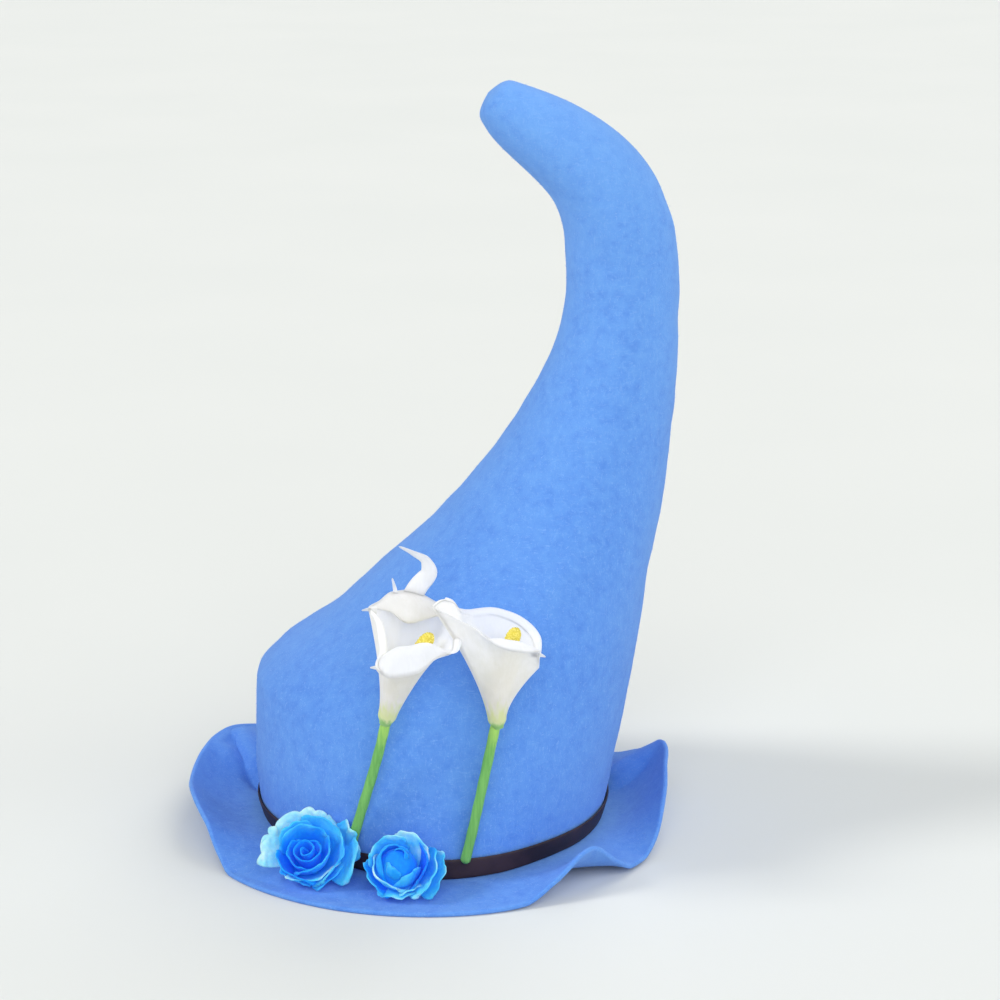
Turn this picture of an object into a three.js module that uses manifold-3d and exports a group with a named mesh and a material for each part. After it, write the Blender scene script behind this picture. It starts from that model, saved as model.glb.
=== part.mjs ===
// A felt wizard hat: a tall crown whose tip bends over, a waved brim, a narrow dark band, two mini calla
// lilies tucked behind the band and two cloth roses lying on the brim.
// Millimetres. Seen from the trimmed side, +X is to the right, +Y is away from the eye and +Z is up.
// The hat stands on its brim: Z is 0 on the floor, and X and Y are 0 at the middle of its plan.

import * as THREE from "three";
import { mergeVertices } from "three/addons/utils/BufferGeometryUtils.js";
import Module from "manifold-3d";

const wasm = await Module();
wasm.setup();

// Driving dimensions.
const FELT = 2.5; // thickness of the felt of crown and brim
const GAP = 0.3; // clearance between pieces that touch
const SEAM_HEIGHT = 4; // the crown's bottom edge above the floor
const HEAD_HALF_WIDTH = 85; // outside of the crown at the seam, across X
const HEAD_HALF_DEPTH = 98; // outside of the crown at the seam, along Y
const BRIM_HALF_WIDTH = 122;
const BRIM_HALF_DEPTH = 134;
const BAND_HEIGHT = 9;
const BAND_THICKNESS = 1.2;
const BLOSSOM_WALL = 1.2; // thickness of the calla petals
const ROSE_WALL = 1.1; // thickness of the rose petals
const STEM_RADIUS = 2.4;
const SPADIX_RADIUS = 3.2;
const PLAN_MIDDLE = { x: -1.25, y: 0 }; // middle of the brim's plan, seen from the middle of the head opening

const BRIM_ROWS = 6; // rows of facets across the brim; the first is its level strip
const BLOSSOM_ROWS = 8; // rows of facets up a calla blossom; the first lies across its seat

const FULL_TURN = 2 * Math.PI;
const radians = THREE.MathUtils.degToRad;

const COLOURS = {
  felt: { color: 0x5b93ee, roughness: 0.95, metalness: 0 },
  band: { color: 0x2b2027, roughness: 0.6, metalness: 0 },
  blossom: { color: 0xf4f5f0, roughness: 0.6, metalness: 0 },
  stem: { color: 0x5ca86a, roughness: 0.6, metalness: 0 },
  spadix: { color: 0xe0d668, roughness: 0.8, metalness: 0 },
  rose: { color: 0x1f8cf0, roughness: 0.8, metalness: 0 },
};

// The crown, from the seam up to where its rounded end begins. Each row is one section: the left and right
// edge of the felt seen from the trimmed side, and half the depth from front to back.
const CROWN_SECTIONS = [
  { leftX: -HEAD_HALF_WIDTH, leftZ: SEAM_HEIGHT, rightX: HEAD_HALF_WIDTH, rightZ: SEAM_HEIGHT, depth: HEAD_HALF_DEPTH },
  { leftX: -88.3, leftZ: 18, rightX: 89, rightZ: 18, depth: 99 },
  { leftX: -89.8, leftZ: 38, rightX: 93, rightZ: 40, depth: 98 },
  { leftX: -89.5, leftZ: 60, rightX: 97.5, rightZ: 62, depth: 96 },
  { leftX: -89, leftZ: 76, rightX: 101, rightZ: 84, depth: 93 },
  { leftX: -81, leftZ: 87, rightX: 104, rightZ: 104, depth: 89 },
  { leftX: -57, leftZ: 104, rightX: 107.5, rightZ: 126, depth: 79 },
  { leftX: -31, leftZ: 127, rightX: 111, rightZ: 145, depth: 68 },
  { leftX: -1, leftZ: 155, rightX: 114.5, rightZ: 165, depth: 55 },
  { leftX: 27, leftZ: 188, rightX: 117.5, rightZ: 190, depth: 43 },
  { leftX: 47, leftZ: 218, rightX: 120, rightZ: 219, depth: 35 },
  { leftX: 60, leftZ: 244, rightX: 121.5, rightZ: 248, depth: 30 },
  { leftX: 65.5, leftZ: 272, rightX: 121.5, rightZ: 273, depth: 27 },
  { leftX: 65, leftZ: 295, rightX: 119, rightZ: 299, depth: 26 },
  { leftX: 59.5, leftZ: 314, rightX: 111, rightZ: 324, depth: 25 },
  { leftX: 47, leftZ: 328, rightX: 97, rightZ: 343.5, depth: 24 },
  { leftX: 34.5, leftZ: 339, rightX: 77, rightZ: 358, depth: 21 },
  { leftX: 29, leftZ: 345.5, rightX: 57, rightZ: 367, depth: 18 },
  { leftX: 26, leftZ: 351, rightX: 43, rightZ: 371, depth: 14 },
];
const CROWN_END = 8; // how far the rounded end stands past the last section
const END_SHARE = 4 / 22; // share of the climb that the rounded end takes
const BAND_SHARE = 0.0292; // share of the climb that the band's height takes

// The brim, by azimuth from +X towards +Y. Spare is how far its edge stands past the plain oval, rise is the
// height of its underside at the edge, below 0 where it reaches the floor before its edge and lies flat on it.
// Seam is how far the crown's foot is lifted there. Curl is 1 where the brim climbs in a straight slope and
// larger where it stays low and turns up late.
const BRIM_FOLDS = [
  { azimuth: -178, spare: 2, rise: 20, seam: 2.2, curl: 2.2 },
  { azimuth: -167, spare: 2, rise: 23, seam: 3, curl: 2.2 },
  { azimuth: -154, spare: 1.5, rise: 18, seam: 4, curl: 2.2 },
  { azimuth: -147, spare: 1.5, rise: 7, seam: 4.3, curl: 2 },
  { azimuth: -140, spare: 2, rise: -1, seam: 4.4, curl: 2 },
  { azimuth: -118, spare: 1, rise: -3, seam: 3, curl: 2 },
  { azimuth: -90, spare: 0, rise: -1.5, seam: 0.3, curl: 2 },
  { azimuth: -68, spare: 0, rise: -1.5, seam: 0.6, curl: 2 },
  { azimuth: -60, spare: 0, rise: 9.5, seam: 1.2, curl: 2 },
  { azimuth: -50, spare: 0, rise: 21.5, seam: 1.8, curl: 2.6 },
  { azimuth: -42, spare: 0, rise: 10, seam: 1.7, curl: 3.2 },
  { azimuth: -35, spare: 0, rise: -2, seam: 1.3, curl: 2.4 },
  { azimuth: -30, spare: 0, rise: -1, seam: 1, curl: 2 },
  { azimuth: -26, spare: 1, rise: 8, seam: 0.8, curl: 2 },
  { azimuth: -14, spare: -1, rise: 22, seam: 0.3, curl: 2 },
  { azimuth: -3, spare: -2.5, rise: 27.5, seam: 0, curl: 1.5 },
  { azimuth: 9, spare: 0, rise: 29.5, seam: 0, curl: 1 },
  { azimuth: 17, spare: 0, rise: 22, seam: 0, curl: 1.2 },
  { azimuth: 28, spare: 0, rise: 8, seam: 0, curl: 1.5 },
  { azimuth: 42, spare: 0, rise: -1.5, seam: 0, curl: 2 },
  { azimuth: 90, spare: 0, rise: -1.5, seam: 0, curl: 2 },
  { azimuth: 118, spare: 0, rise: -1.5, seam: 0, curl: 2 },
  { azimuth: 141, spare: 1, rise: 16, seam: 0.2, curl: 1.6 },
  { azimuth: 156, spare: 2, rise: 23, seam: 0.6, curl: 1.3 },
  { azimuth: 170, spare: 2, rise: 23, seam: 1.3, curl: 1 },
];

// Calla blossoms, each from the seat of its stem to its rim. The rim rows go round from the right side past the
// back. Roll is how far the petal's edge turns over towards the eye, and belly how far a rib swells above the
// straight way to its rim.
const LEFT_LILY = {
  stem: [
    { x: -38, y: -92.6, z: 15 },
    { x: -34, y: -95.2, z: 30 },
    { x: -22.5, y: -101, z: 71 },
  ],
  base: { x: -18.6, y: -103.3, z: 88.6 },
  flare: 1.4,
  rim: [
    { x: 14, y: -106, z: 129, roll: 0, belly: 2 },
    { x: 13, y: -97, z: 138, roll: 3, belly: 0 },
    { x: 4, y: -91, z: 143, roll: 8, belly: 0 },
    { x: -6, y: -90, z: 145.5, roll: 8, belly: 0 },
    { x: -16, y: -93, z: 146, roll: 4, belly: 0 },
    { x: -22, y: -96, z: 142.5, roll: 1, belly: 0 },
    { x: -28, y: -101, z: 140, roll: 0, belly: 0 },
    { x: -22, y: -107, z: 133, roll: 0, belly: 0 },
    { x: -21, y: -114, z: 124, roll: 0, belly: 3 },
    { x: -23.5, y: -121, z: 117.5, roll: 0, belly: 9 },
    { x: -16, y: -127, z: 115, roll: 0, belly: 14 },
    { x: -5, y: -128, z: 117, roll: 0, belly: 14 },
    { x: 4.5, y: -123, z: 123, roll: 0, belly: 9 },
    { x: 12, y: -116, z: 124, roll: 0, belly: 4 },
  ],
  spadixTip: { x: 0.5, y: -109, z: 129.5 },
};

const RIGHT_LILY = {
  stem: [
    { x: 17.3, y: -99.8, z: 13.6 },
    { x: 20.2, y: -100.8, z: 30 },
    { x: 27.8, y: -102.2, z: 69 },
  ],
  base: { x: 32.6, y: -103.2, z: 87.1 },
  flare: 1.5,
  rim: [
    { x: 52.3, y: -117, z: 123, roll: 0, belly: 2 },
    { x: 53, y: -107, z: 118, roll: 0, belly: 0 },
    { x: 51.5, y: -98, z: 123.5, roll: 0, belly: 0 },
    { x: 46, y: -91, z: 129, roll: 0, belly: 0 },
    { x: 38, y: -88, z: 133, roll: 0, belly: 0 },
    { x: 29, y: -86.5, z: 134.5, roll: 0, belly: 0 },
    { x: 21, y: -89, z: 135.5, roll: 0, belly: 0 },
    { x: 15.5, y: -98, z: 139, roll: 0, belly: 0 },
    { x: 16, y: -108, z: 138, roll: 0, belly: 0 },
    { x: 22.6, y: -118, z: 135, roll: 0, belly: 0 },
    { x: 29.4, y: -124, z: 130, roll: 0, belly: 0 },
    { x: 37, y: -127, z: 127, roll: 0, belly: 2 },
    { x: 45, y: -125, z: 125, roll: 0, belly: 2 },
  ],
  spadixTip: { x: 40, y: -109, z: 133 },
};

// Tendrils that grow from the left blossom's edge: a broad horn that hooks over, and a small spike.
const HORN = [
  { x: -7.5, y: -91.5, z: 142, width: 5 },
  { x: -3, y: -90.5, z: 149, width: 4.4 },
  { x: 1, y: -89.5, z: 155, width: 3.6 },
  { x: -1.5, y: -90.5, z: 160.5, width: 2.4 },
  { x: -12, y: -93, z: 167.5, width: 0.9 },
];
const SPIKE = [
  { x: -14.5, y: -94, z: 143, width: 1.4 },
  { x: -14.6, y: -93.6, z: 148, width: 1 },
  { x: -15.8, y: -93, z: 152.6, width: 0.7 },
];

// Roses: where the heart of the bloom lies, the direction it faces, and its petals from the heart outwards.
// Frill is how deep the petal's edge is waved.
const LEFT_ROSE = {
  heart: { x: -57, y: -94, z: 12 },
  facing: { x: -0.12, y: -0.8, z: 1 },
  petals: [
    { azimuth: 20, spread: 150, foot: 1.5, rim: 3.5, height: 18, lip: 0.3, frill: 0 },
    { azimuth: 210, spread: 110, foot: 3, rim: 7, height: 17.5, lip: 0.5, frill: 0 },
    { azimuth: 60, spread: 100, foot: 3, rim: 10, height: 17, lip: 0.8, frill: 0 },
    { azimuth: 290, spread: 80, foot: 3, rim: 13, height: 16, lip: 1, frill: 0 },
    { azimuth: 170, spread: 60, foot: 3, rim: 14, height: 15, lip: 1.5, frill: 0 },
    { azimuth: 20, spread: 70, foot: 3, rim: 18, height: 14, lip: 2, frill: 0 },
    { azimuth: 275, spread: 65, foot: 3, rim: 18, height: 11, lip: 2.5, frill: 0 },
    { azimuth: 350, spread: 45, foot: 3, rim: 23, height: 11, lip: 2.5, frill: 0 },
    { azimuth: 140, spread: 60, foot: 3, rim: 22, height: 8, lip: 3, frill: 1.2 },
  ],
};
const RIGHT_ROSE = {
  heart: { x: -11, y: -111, z: 12.5 },
  facing: { x: 0.05, y: -0.8, z: 1 },
  petals: [
    { azimuth: 190, spread: 140, foot: 2, rim: 7, height: 18, lip: -2, frill: 0 },
    { azimuth: 20, spread: 100, foot: 2.5, rim: 9, height: 18, lip: -1.5, frill: 0 },
    { azimuth: 250, spread: 80, foot: 3, rim: 13, height: 17, lip: -1, frill: 0 },
    { azimuth: 90, spread: 80, foot: 3, rim: 14, height: 18, lip: 0.5, frill: 0 },
    { azimuth: 335, spread: 60, foot: 3, rim: 16, height: 14, lip: 1, frill: 0 },
    { azimuth: 170, spread: 60, foot: 3, rim: 16, height: 14, lip: 0.5, frill: 0 },
    { azimuth: 300, spread: 50, foot: 3, rim: 18, height: 7, lip: 3, frill: 0 },
    { azimuth: 205, spread: 50, foot: 3, rim: 21, height: 7, lip: 2, frill: 0 },
  ],
};

// Reads a named column of a table between its rows: a smooth curve that never swings past a row.
function between(rows, column, key, at) {
  let i = 0;
  while (i < rows.length - 2 && key(i + 1) <= at) i += 1;
  const slope = (k) =>
    k < 0 || k >= rows.length - 1 ? null : (rows[k + 1][column] - rows[k][column]) / (key(k + 1) - key(k));
  const tangent = (before, after) => {
    if (before === null || after === null) return before ?? after;
    return before * after <= 0 ? 0 : (2 * before * after) / (before + after);
  };
  const span = key(i + 1) - key(i);
  const t = (at - key(i)) / span;
  const start = tangent(slope(i - 1), slope(i)) * span;
  const end = tangent(slope(i), slope(i + 1)) * span;
  const a = rows[i][column];
  const b = rows[i + 1][column];
  return (
    a * (1 + 2 * t) * (1 - t) ** 2 + start * t * (1 - t) ** 2 + b * t * t * (3 - 2 * t) + end * t * t * (t - 1)
  );
}

// The same for a table of points along a path, with at from 0 at its first row to 1 at its last.
function along(rows, at) {
  const read = (column) => between(rows, column, (i) => i / (rows.length - 1), at);
  return new THREE.Vector3(read("x"), read("y"), read("z"));
}

// The same for a table that goes once round, with its angles in a column named azimuth.
function around(rows, column, azimuth) {
  const turns = [-360, 0, 360].flatMap((shift) => rows.map((row) => ({ ...row, azimuth: row.azimuth + shift })));
  const wrapped = ((((azimuth + 180) % 360) + 360) % 360) - 180;
  return between(turns, column, (i) => turns[i].azimuth, wrapped);
}

// Merges the shared vertices and drops the triangles that collapse at a pole.
function weld(positions) {
  const WELD_DISTANCE = 1e-3;
  const attribute = new THREE.Float32BufferAttribute(positions, 3);
  const merged = mergeVertices(new THREE.BufferGeometry().setAttribute("position", attribute), WELD_DISTANCE);
  const kept = [];
  for (let i = 0; i < merged.index.count; i += 3) {
    const [a, b, c] = [0, 1, 2].map((k) => merged.index.getX(i + k));
    if (a !== b && b !== c && c !== a) kept.push(a, b, c);
  }
  merged.setIndex(kept);
  merged.computeVertexNormals();
  return merged;
}

// Closed geometry between two grids of points that face each other, grid[row][column]. Columns close on
// themselves when the sheet goes round, and rows that shrink to a point close a pole.
function closeGrids(outer, inner, goesRound) {
  const rows = outer.length;
  const columns = outer[0].length;
  const positions = [];
  const quad = (a, b, c, d) => [a, b, c, a, c, d].forEach((p) => positions.push(p.x, p.y, p.z));
  const lastColumn = goesRound ? columns : columns - 1;
  for (let row = 0; row < rows - 1; row += 1) {
    for (let column = 0; column < lastColumn; column += 1) {
      const next = (column + 1) % columns;
      quad(outer[row][column], outer[row][next], outer[row + 1][next], outer[row + 1][column]);
      quad(inner[row][next], inner[row][column], inner[row + 1][column], inner[row + 1][next]);
    }
  }
  for (let column = 0; column < lastColumn; column += 1) {
    const next = (column + 1) % columns;
    quad(inner[0][column], inner[0][next], outer[0][next], outer[0][column]);
    quad(outer[rows - 1][column], outer[rows - 1][next], inner[rows - 1][next], inner[rows - 1][column]);
  }
  if (!goesRound) {
    const end = columns - 1;
    for (let row = 0; row < rows - 1; row += 1) {
      quad(inner[row][0], outer[row][0], outer[row + 1][0], inner[row + 1][0]);
      quad(outer[row][end], inner[row][end], inner[row + 1][end], outer[row + 1][end]);
    }
  }
  return weld(positions);
}

// A wall whose outside is face(u, v), with u and v from 0 to 1, and whose inside lies a thickness behind it.
function wall(face, columns, rows, thickness, goesRound) {
  const STEP = 1e-3;
  const outer = [];
  const inner = [];
  for (let row = 0; row <= rows; row += 1) {
    const v = row / rows;
    const outerRow = [];
    const innerRow = [];
    for (let column = 0; column < (goesRound ? columns : columns + 1); column += 1) {
      const u = column / columns;
      const nearV = Math.min(Math.max(v, STEP), 1 - STEP);
      const nearU = goesRound ? u : Math.min(Math.max(u, STEP), 1 - STEP);
      const alongU = face(nearU + STEP, nearV).sub(face(nearU - STEP, nearV));
      const alongV = face(nearU, nearV + STEP).sub(face(nearU, nearV - STEP));
      const normal = alongU.cross(alongV).normalize();
      outerRow.push(face(u, v));
      innerRow.push(face(u, v).addScaledVector(normal, -thickness));
    }
    outer.push(outerRow);
    inner.push(innerRow);
  }
  return closeGrids(outer, inner, goesRound);
}

// A rod along a path, closed at both ends. The radius and the path are read from 0 to 1, and flatness below 1
// presses its section flat.
function rod(path, radiusAt, columns, rows, flatness = 1) {
  const rings = [];
  let side = new THREE.Vector3(0, 1, 0);
  for (let row = -1; row <= rows + 1; row += 1) {
    const t = Math.min(Math.max(row / rows, 0), 1);
    const radius = row < 0 || row > rows ? 0 : radiusAt(t);
    const centre = path(t);
    const ahead = path(Math.min(t + 1e-3, 1)).sub(path(Math.max(t - 1e-3, 0))).normalize();
    side = side.clone().addScaledVector(ahead, -side.dot(ahead)).normalize();
    const other = new THREE.Vector3().crossVectors(ahead, side);
    const point = (column) => {
      const angle = (column / columns) * FULL_TURN;
      return centre
        .clone()
        .addScaledVector(side, radius * flatness * Math.cos(angle))
        .addScaledVector(other, radius * Math.sin(angle));
    };
    rings.push(Array.from({ length: columns }, (_, column) => point(column)));
  }
  const positions = [];
  for (let row = 0; row < rings.length - 1; row += 1) {
    for (let column = 0; column < columns; column += 1) {
      const next = (column + 1) % columns;
      const [a, b] = [rings[row][column], rings[row][next]];
      const [c, d] = [rings[row + 1][next], rings[row + 1][column]];
      [a, b, c, a, c, d].forEach((p) => positions.push(p.x, p.y, p.z));
    }
  }
  return weld(positions);
}

function toSolid(geometry) {
  const vertProperties = new Float32Array(geometry.attributes.position.array);
  const triVerts = new Uint32Array(geometry.index.array);
  return new wasm.Manifold(new wasm.Mesh({ numProp: 3, vertProperties, triVerts }));
}

// Surface of a solid's one body, without the pockets that its joined pieces close off.
function toGeometry(solid) {
  const body = solid.decompose().reduce((largest, part) => (part.volume() > largest.volume() ? part : largest));
  const mesh = body.getMesh();
  const positions = Array.from(mesh.triVerts).flatMap((i) => Array.from(mesh.vertProperties.slice(3 * i, 3 * i + 3)));
  return weld(positions);
}

function piece(name, geometry, finish) {
  const mesh = new THREE.Mesh(geometry, new THREE.MeshStandardMaterial(finish));
  mesh.name = name;
  return mesh;
}

function vector({ x, y, z }) {
  return new THREE.Vector3(x, y, z);
}

// How far the crown's foot is lifted above the usual height of the seam.
function seamLift(turn) {
  return around(BRIM_FOLDS, "seam", turn * 360);
}

// Outside of the crown. Turn goes once round from +X towards +Y, and climb is 0 at the seam and 1 at the end.
function crownFace(turn, climb, inset = 0) {
  const FULLNESS = 0.85; // 1 would round the end like a ball, less makes it blunter
  const FOOT_ROWS = 2; // the lifted foot evens out over this many rows of the table
  const last = CROWN_SECTIONS.length - 1;
  const body = Math.min(climb / (1 - END_SHARE), 1) * last;
  const read = (column) => between(CROWN_SECTIONS, column, (i) => i, body);
  const left = new THREE.Vector3(read("leftX"), 0, read("leftZ"));
  const right = new THREE.Vector3(read("rightX"), 0, read("rightZ"));
  const middle = left.clone().add(right).multiplyScalar(0.5);
  const across = right.clone().sub(middle);
  const upwards = new THREE.Vector3(-across.z, 0, across.x).normalize();
  const past = Math.max((climb - (1 - END_SHARE)) / END_SHARE, 0) * (Math.PI / 2);
  const shrink = Math.max(Math.cos(past), 0) ** FULLNESS;
  const width = (across.length() - inset) * shrink;
  const depth = (read("depth") - inset) * shrink;
  const angle = turn * FULL_TURN;
  return middle
    .addScaledVector(across.normalize(), width * Math.cos(angle))
    .addScaledVector(new THREE.Vector3(0, 1, 0), depth * Math.sin(angle))
    .addScaledVector(upwards, (CROWN_END - inset) * Math.sin(past) ** FULLNESS)
    .addScaledVector(new THREE.Vector3(0, 0, 1), seamLift(turn) * Math.max(1 - body / FOOT_ROWS, 0));
}

function crownGrid(columns, rows, topClimb, inset) {
  const turns = Array.from({ length: columns }, (_, column) => column / columns);
  const climbs = Array.from({ length: rows + 1 }, (_, row) => (row / rows) * topClimb);
  return climbs.map((climb) => turns.map((turn) => crownFace(turn, climb, inset)));
}

function makeCrown() {
  const [COLUMNS, ROWS] = [36, 22];
  const geometry = closeGrids(crownGrid(COLUMNS, ROWS, 1, 0), crownGrid(COLUMNS, ROWS, 1, FELT), true);
  return piece("crown", geometry, COLOURS.felt);
}

// Underside of the brim, from under the crown's wall to the waved outer edge.
function brimUnderside(turn, out) {
  const LEVEL = 0.06; // share of the brim's width that stays level beside the crown, under the band
  const azimuth = turn * 360 - 180;
  const direction = radians(azimuth);
  const [spare, rise, curl] = ["spare", "rise", "curl"].map((column) => around(BRIM_FOLDS, column, azimuth));
  const tuck = FELT / (BRIM_HALF_WIDTH - HEAD_HALF_WIDTH);
  const share = Math.max((out * BRIM_ROWS - 1) / (BRIM_ROWS - 1), 0);
  const step = share > 0 ? LEVEL + (1 - LEVEL) * share : (LEVEL + tuck) * out * BRIM_ROWS - tuck;
  const seam = SEAM_HEIGHT - GAP - FELT + seamLift(azimuth / 360);
  const height = Math.max(seam + (rise - seam) * share ** curl, 0);
  const halfWidth = HEAD_HALF_WIDTH + (BRIM_HALF_WIDTH + spare - HEAD_HALF_WIDTH) * step;
  const halfDepth = HEAD_HALF_DEPTH + (BRIM_HALF_DEPTH + spare - HEAD_HALF_DEPTH) * step;
  return new THREE.Vector3(halfWidth * Math.cos(direction), halfDepth * Math.sin(direction), height);
}

function brimGeometry(thickness) {
  return wall(brimUnderside, 72, BRIM_ROWS, thickness, true);
}

// The band, or with a clearance the room it fills. It follows the crown's foot.
function bandGeometry(clearance) {
  const [COLUMNS, ROWS] = [72, 1];
  const topClimb = BAND_SHARE * (1 + clearance / BAND_HEIGHT);
  const outside = crownGrid(COLUMNS, ROWS, topClimb, -GAP - BAND_THICKNESS - clearance);
  const inside = crownGrid(COLUMNS, ROWS, topClimb, clearance - GAP);
  return closeGrids(outside, inside, true);
}

// Direction in which a calla blossom stands: from the seat of its stem to the middle of its rim.
function blossomAxis(lily) {
  const middle = lily.rim.reduce((sum, row) => sum.add(vector(row)), new THREE.Vector3());
  return middle.divideScalar(lily.rim.length).sub(vector(lily.base)).normalize();
}

// Outside of a calla blossom: ribs climb from the seat of the stem and flare out to the rim.
function blossomFace(lily) {
  const SEAT_SHARE = 1 / BLOSSOM_ROWS; // share of each rib that lies across the seat
  const SEAT_RADIUS = 4.6;
  const ROLL_SHARE = 2 / BLOSSOM_ROWS; // share of each rib that turns over at the rim
  const base = vector(lily.base);
  const count = lily.rim.length;
  const laps = [-1, 0, 1].flatMap((lap) => lily.rim.map((row, i) => ({ ...row, turn: i / count + lap })));
  const axis = blossomAxis(lily);
  return (turn, climb) => {
    const read = (column) => between(laps, column, (i) => laps[i].turn, turn);
    const lateral = new THREE.Vector3(read("x"), read("y"), read("z")).sub(base);
    const height = lateral.dot(axis);
    lateral.addScaledVector(axis, -height);
    const up = Math.min(Math.max((climb - SEAT_SHARE) / (1 - SEAT_SHARE - ROLL_SHARE), 0), 1);
    const over = Math.max((climb - 1 + ROLL_SHARE) / ROLL_SHARE, 0);
    const seat = Math.min(climb / SEAT_SHARE, 1) * SEAT_RADIUS;
    const radius = seat + (lateral.length() - seat) * up ** lily.flare;
    const swell = 4 * up * (1 - up) * read("belly");
    const bend = (over * Math.PI) / 2;
    const roll = new THREE.Vector3(0, -Math.sin(bend), Math.cos(bend) - 1).multiplyScalar(Math.max(read("roll"), 0));
    return base
      .clone()
      .addScaledVector(axis, height * up + swell + over * 0.8)
      .addScaledVector(lateral.normalize(), radius)
      .add(roll);
  };
}

function makeBlossom(name, lily, tendrils) {
  const cup = toSolid(wall(blossomFace(lily), 28, BLOSSOM_ROWS, BLOSSOM_WALL, true));
  const joined = tendrils.reduce((solid, tendril) => solid.add(toSolid(tendril)), cup);
  return piece(name, toGeometry(joined), COLOURS.blossom);
}

function tendril(rows, flatness) {
  const width = (t) => between(rows, "width", (i) => i / (rows.length - 1), t);
  return rod((t) => along(rows, t), width, 6, 8, flatness);
}

// The spadix stands in the blossom's throat: a soft finger that leans from its axis to its tip.
function makeSpadix(name, lily) {
  const [FOOT_HEIGHT, LEAN_HEIGHT] = [BLOSSOM_WALL + GAP, 22];
  const [foot, lean] = [FOOT_HEIGHT, LEAN_HEIGHT].map((h) => vector(lily.base).addScaledVector(blossomAxis(lily), h));
  const path = new THREE.QuadraticBezierCurve3(foot, lean, vector(lily.spadixTip));
  const ROUND_SHARE = 0.1; // share of its length over which the tip rounds off
  const reach = (t) => 1 - (1 - t) ** 2;
  const radiusAt = (t) => {
    const past = Math.max((reach(t) - 1 + ROUND_SHARE) / ROUND_SHARE, 0);
    return SPADIX_RADIUS * Math.min(0.75 + t, 1) * Math.sqrt(1 - Math.min(past, 1) ** 2);
  };
  return piece(name, rod((t) => path.getPoint(reach(t)), radiusAt, 10, 9), COLOURS.spadix);
}

// The stem runs up into the seat of its blossom and meets it square.
function stemGeometry(lily, clearance) {
  const [LEAD, below] = [5, blossomAxis(lily).negate()];
  const seat = [LEAD, GAP].map((distance) => vector(lily.base).addScaledVector(below, distance));
  const rows = [...lily.stem, ...seat];
  return rod((t) => along(rows, t), () => STEM_RADIUS + clearance, 10, 8);
}

function makeLily(side, lily, tendrils) {
  return [
    piece(`lily_${side}_stem`, stemGeometry(lily, 0), COLOURS.stem),
    makeBlossom(`lily_${side}_spathe`, lily, tendrils),
    makeSpadix(`lily_${side}_spadix`, lily),
  ];
}

// One rose petal in the bloom's own frame, whose +Z is the way it faces.
function rosePetal({ azimuth, spread, foot, rim, height, lip, frill }) {
  const face = (u, v) => {
    const across = 2 * u - 1;
    const turn = radians(azimuth + spread * across);
    const waved = frill * v ** 3 * Math.cos(across * 4 * Math.PI);
    const out = foot + (rim - foot) * Math.sin((v * Math.PI) / 2) ** 0.8 + lip * v ** 5 + waved;
    const crest = 1 - 0.6 * Math.abs(across) ** 3;
    return new THREE.Vector3(out * Math.cos(turn), out * Math.sin(turn), height * crest * v);
  };
  const columns = frill > 0 ? 14 : Math.round(spread / 19);
  return wall(face, columns, 3, ROSE_WALL, false);
}

// Takes away what would reach into the crown, the band, the brim or the left stem, with the usual clearance.
function settle(solid) {
  const crown = closeGrids(crownGrid(72, 12, 0.5, -GAP), crownGrid(72, 12, 0.5, 20), true);
  const neighbours = [crown, brimGeometry(FELT + GAP), bandGeometry(GAP), stemGeometry(LEFT_LILY, GAP)];
  return neighbours.reduce((rest, block) => rest.subtract(toSolid(block)), solid);
}

function makeRose(name, rose) {
  const CORE_RADIUS = 10;
  const CORE_HEIGHT = 7;
  const profile = (t) => CORE_RADIUS * Math.sin(Math.PI * (0.15 + 0.75 * t));
  const core = rod((t) => new THREE.Vector3(0, 0, CORE_HEIGHT * (t - 0.4)), profile, 12, 3);
  const facing = vector(rose.facing).normalize();
  const turned = new THREE.Quaternion().setFromUnitVectors(new THREE.Vector3(0, 0, 1), facing);
  const place = new THREE.Matrix4().compose(vector(rose.heart), turned, new THREE.Vector3(1, 1, 1));
  const bloom = rose.petals
    .map((petal) => toSolid(rosePetal(petal).applyMatrix4(place)))
    .reduce((sum, petal) => sum.add(petal), toSolid(core.applyMatrix4(place)));
  return piece(name, toGeometry(settle(bloom)), COLOURS.rose);
}

const hat = new THREE.Group();
hat.position.set(-PLAN_MIDDLE.x, -PLAN_MIDDLE.y, 0);
hat.add(
  makeCrown(),
  piece("brim", brimGeometry(FELT), COLOURS.felt),
  piece("hat_band", bandGeometry(0), COLOURS.band),
  makeRose("rose_left", LEFT_ROSE),
  makeRose("rose_right", RIGHT_ROSE),
  ...makeLily("left", LEFT_LILY, [tendril(HORN, 0.3), tendril(SPIKE, 1)]),
  ...makeLily("right", RIGHT_LILY, []),
);

export default hat;
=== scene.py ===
"""Looks of the felt wizard hat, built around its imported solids.

Tables and sizes are in millimetres, in the frame of the hat's own head opening; meshes are in metres, in the
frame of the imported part, whose X is 0 at the middle of the brim's plan.
"""

import logging
import math
from dataclasses import dataclass
from enum import Enum
from typing import Any, Callable, NamedTuple, Sequence

import bmesh
import bpy
import numpy as np
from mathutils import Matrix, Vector
from mathutils.bvhtree import BVHTree


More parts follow.
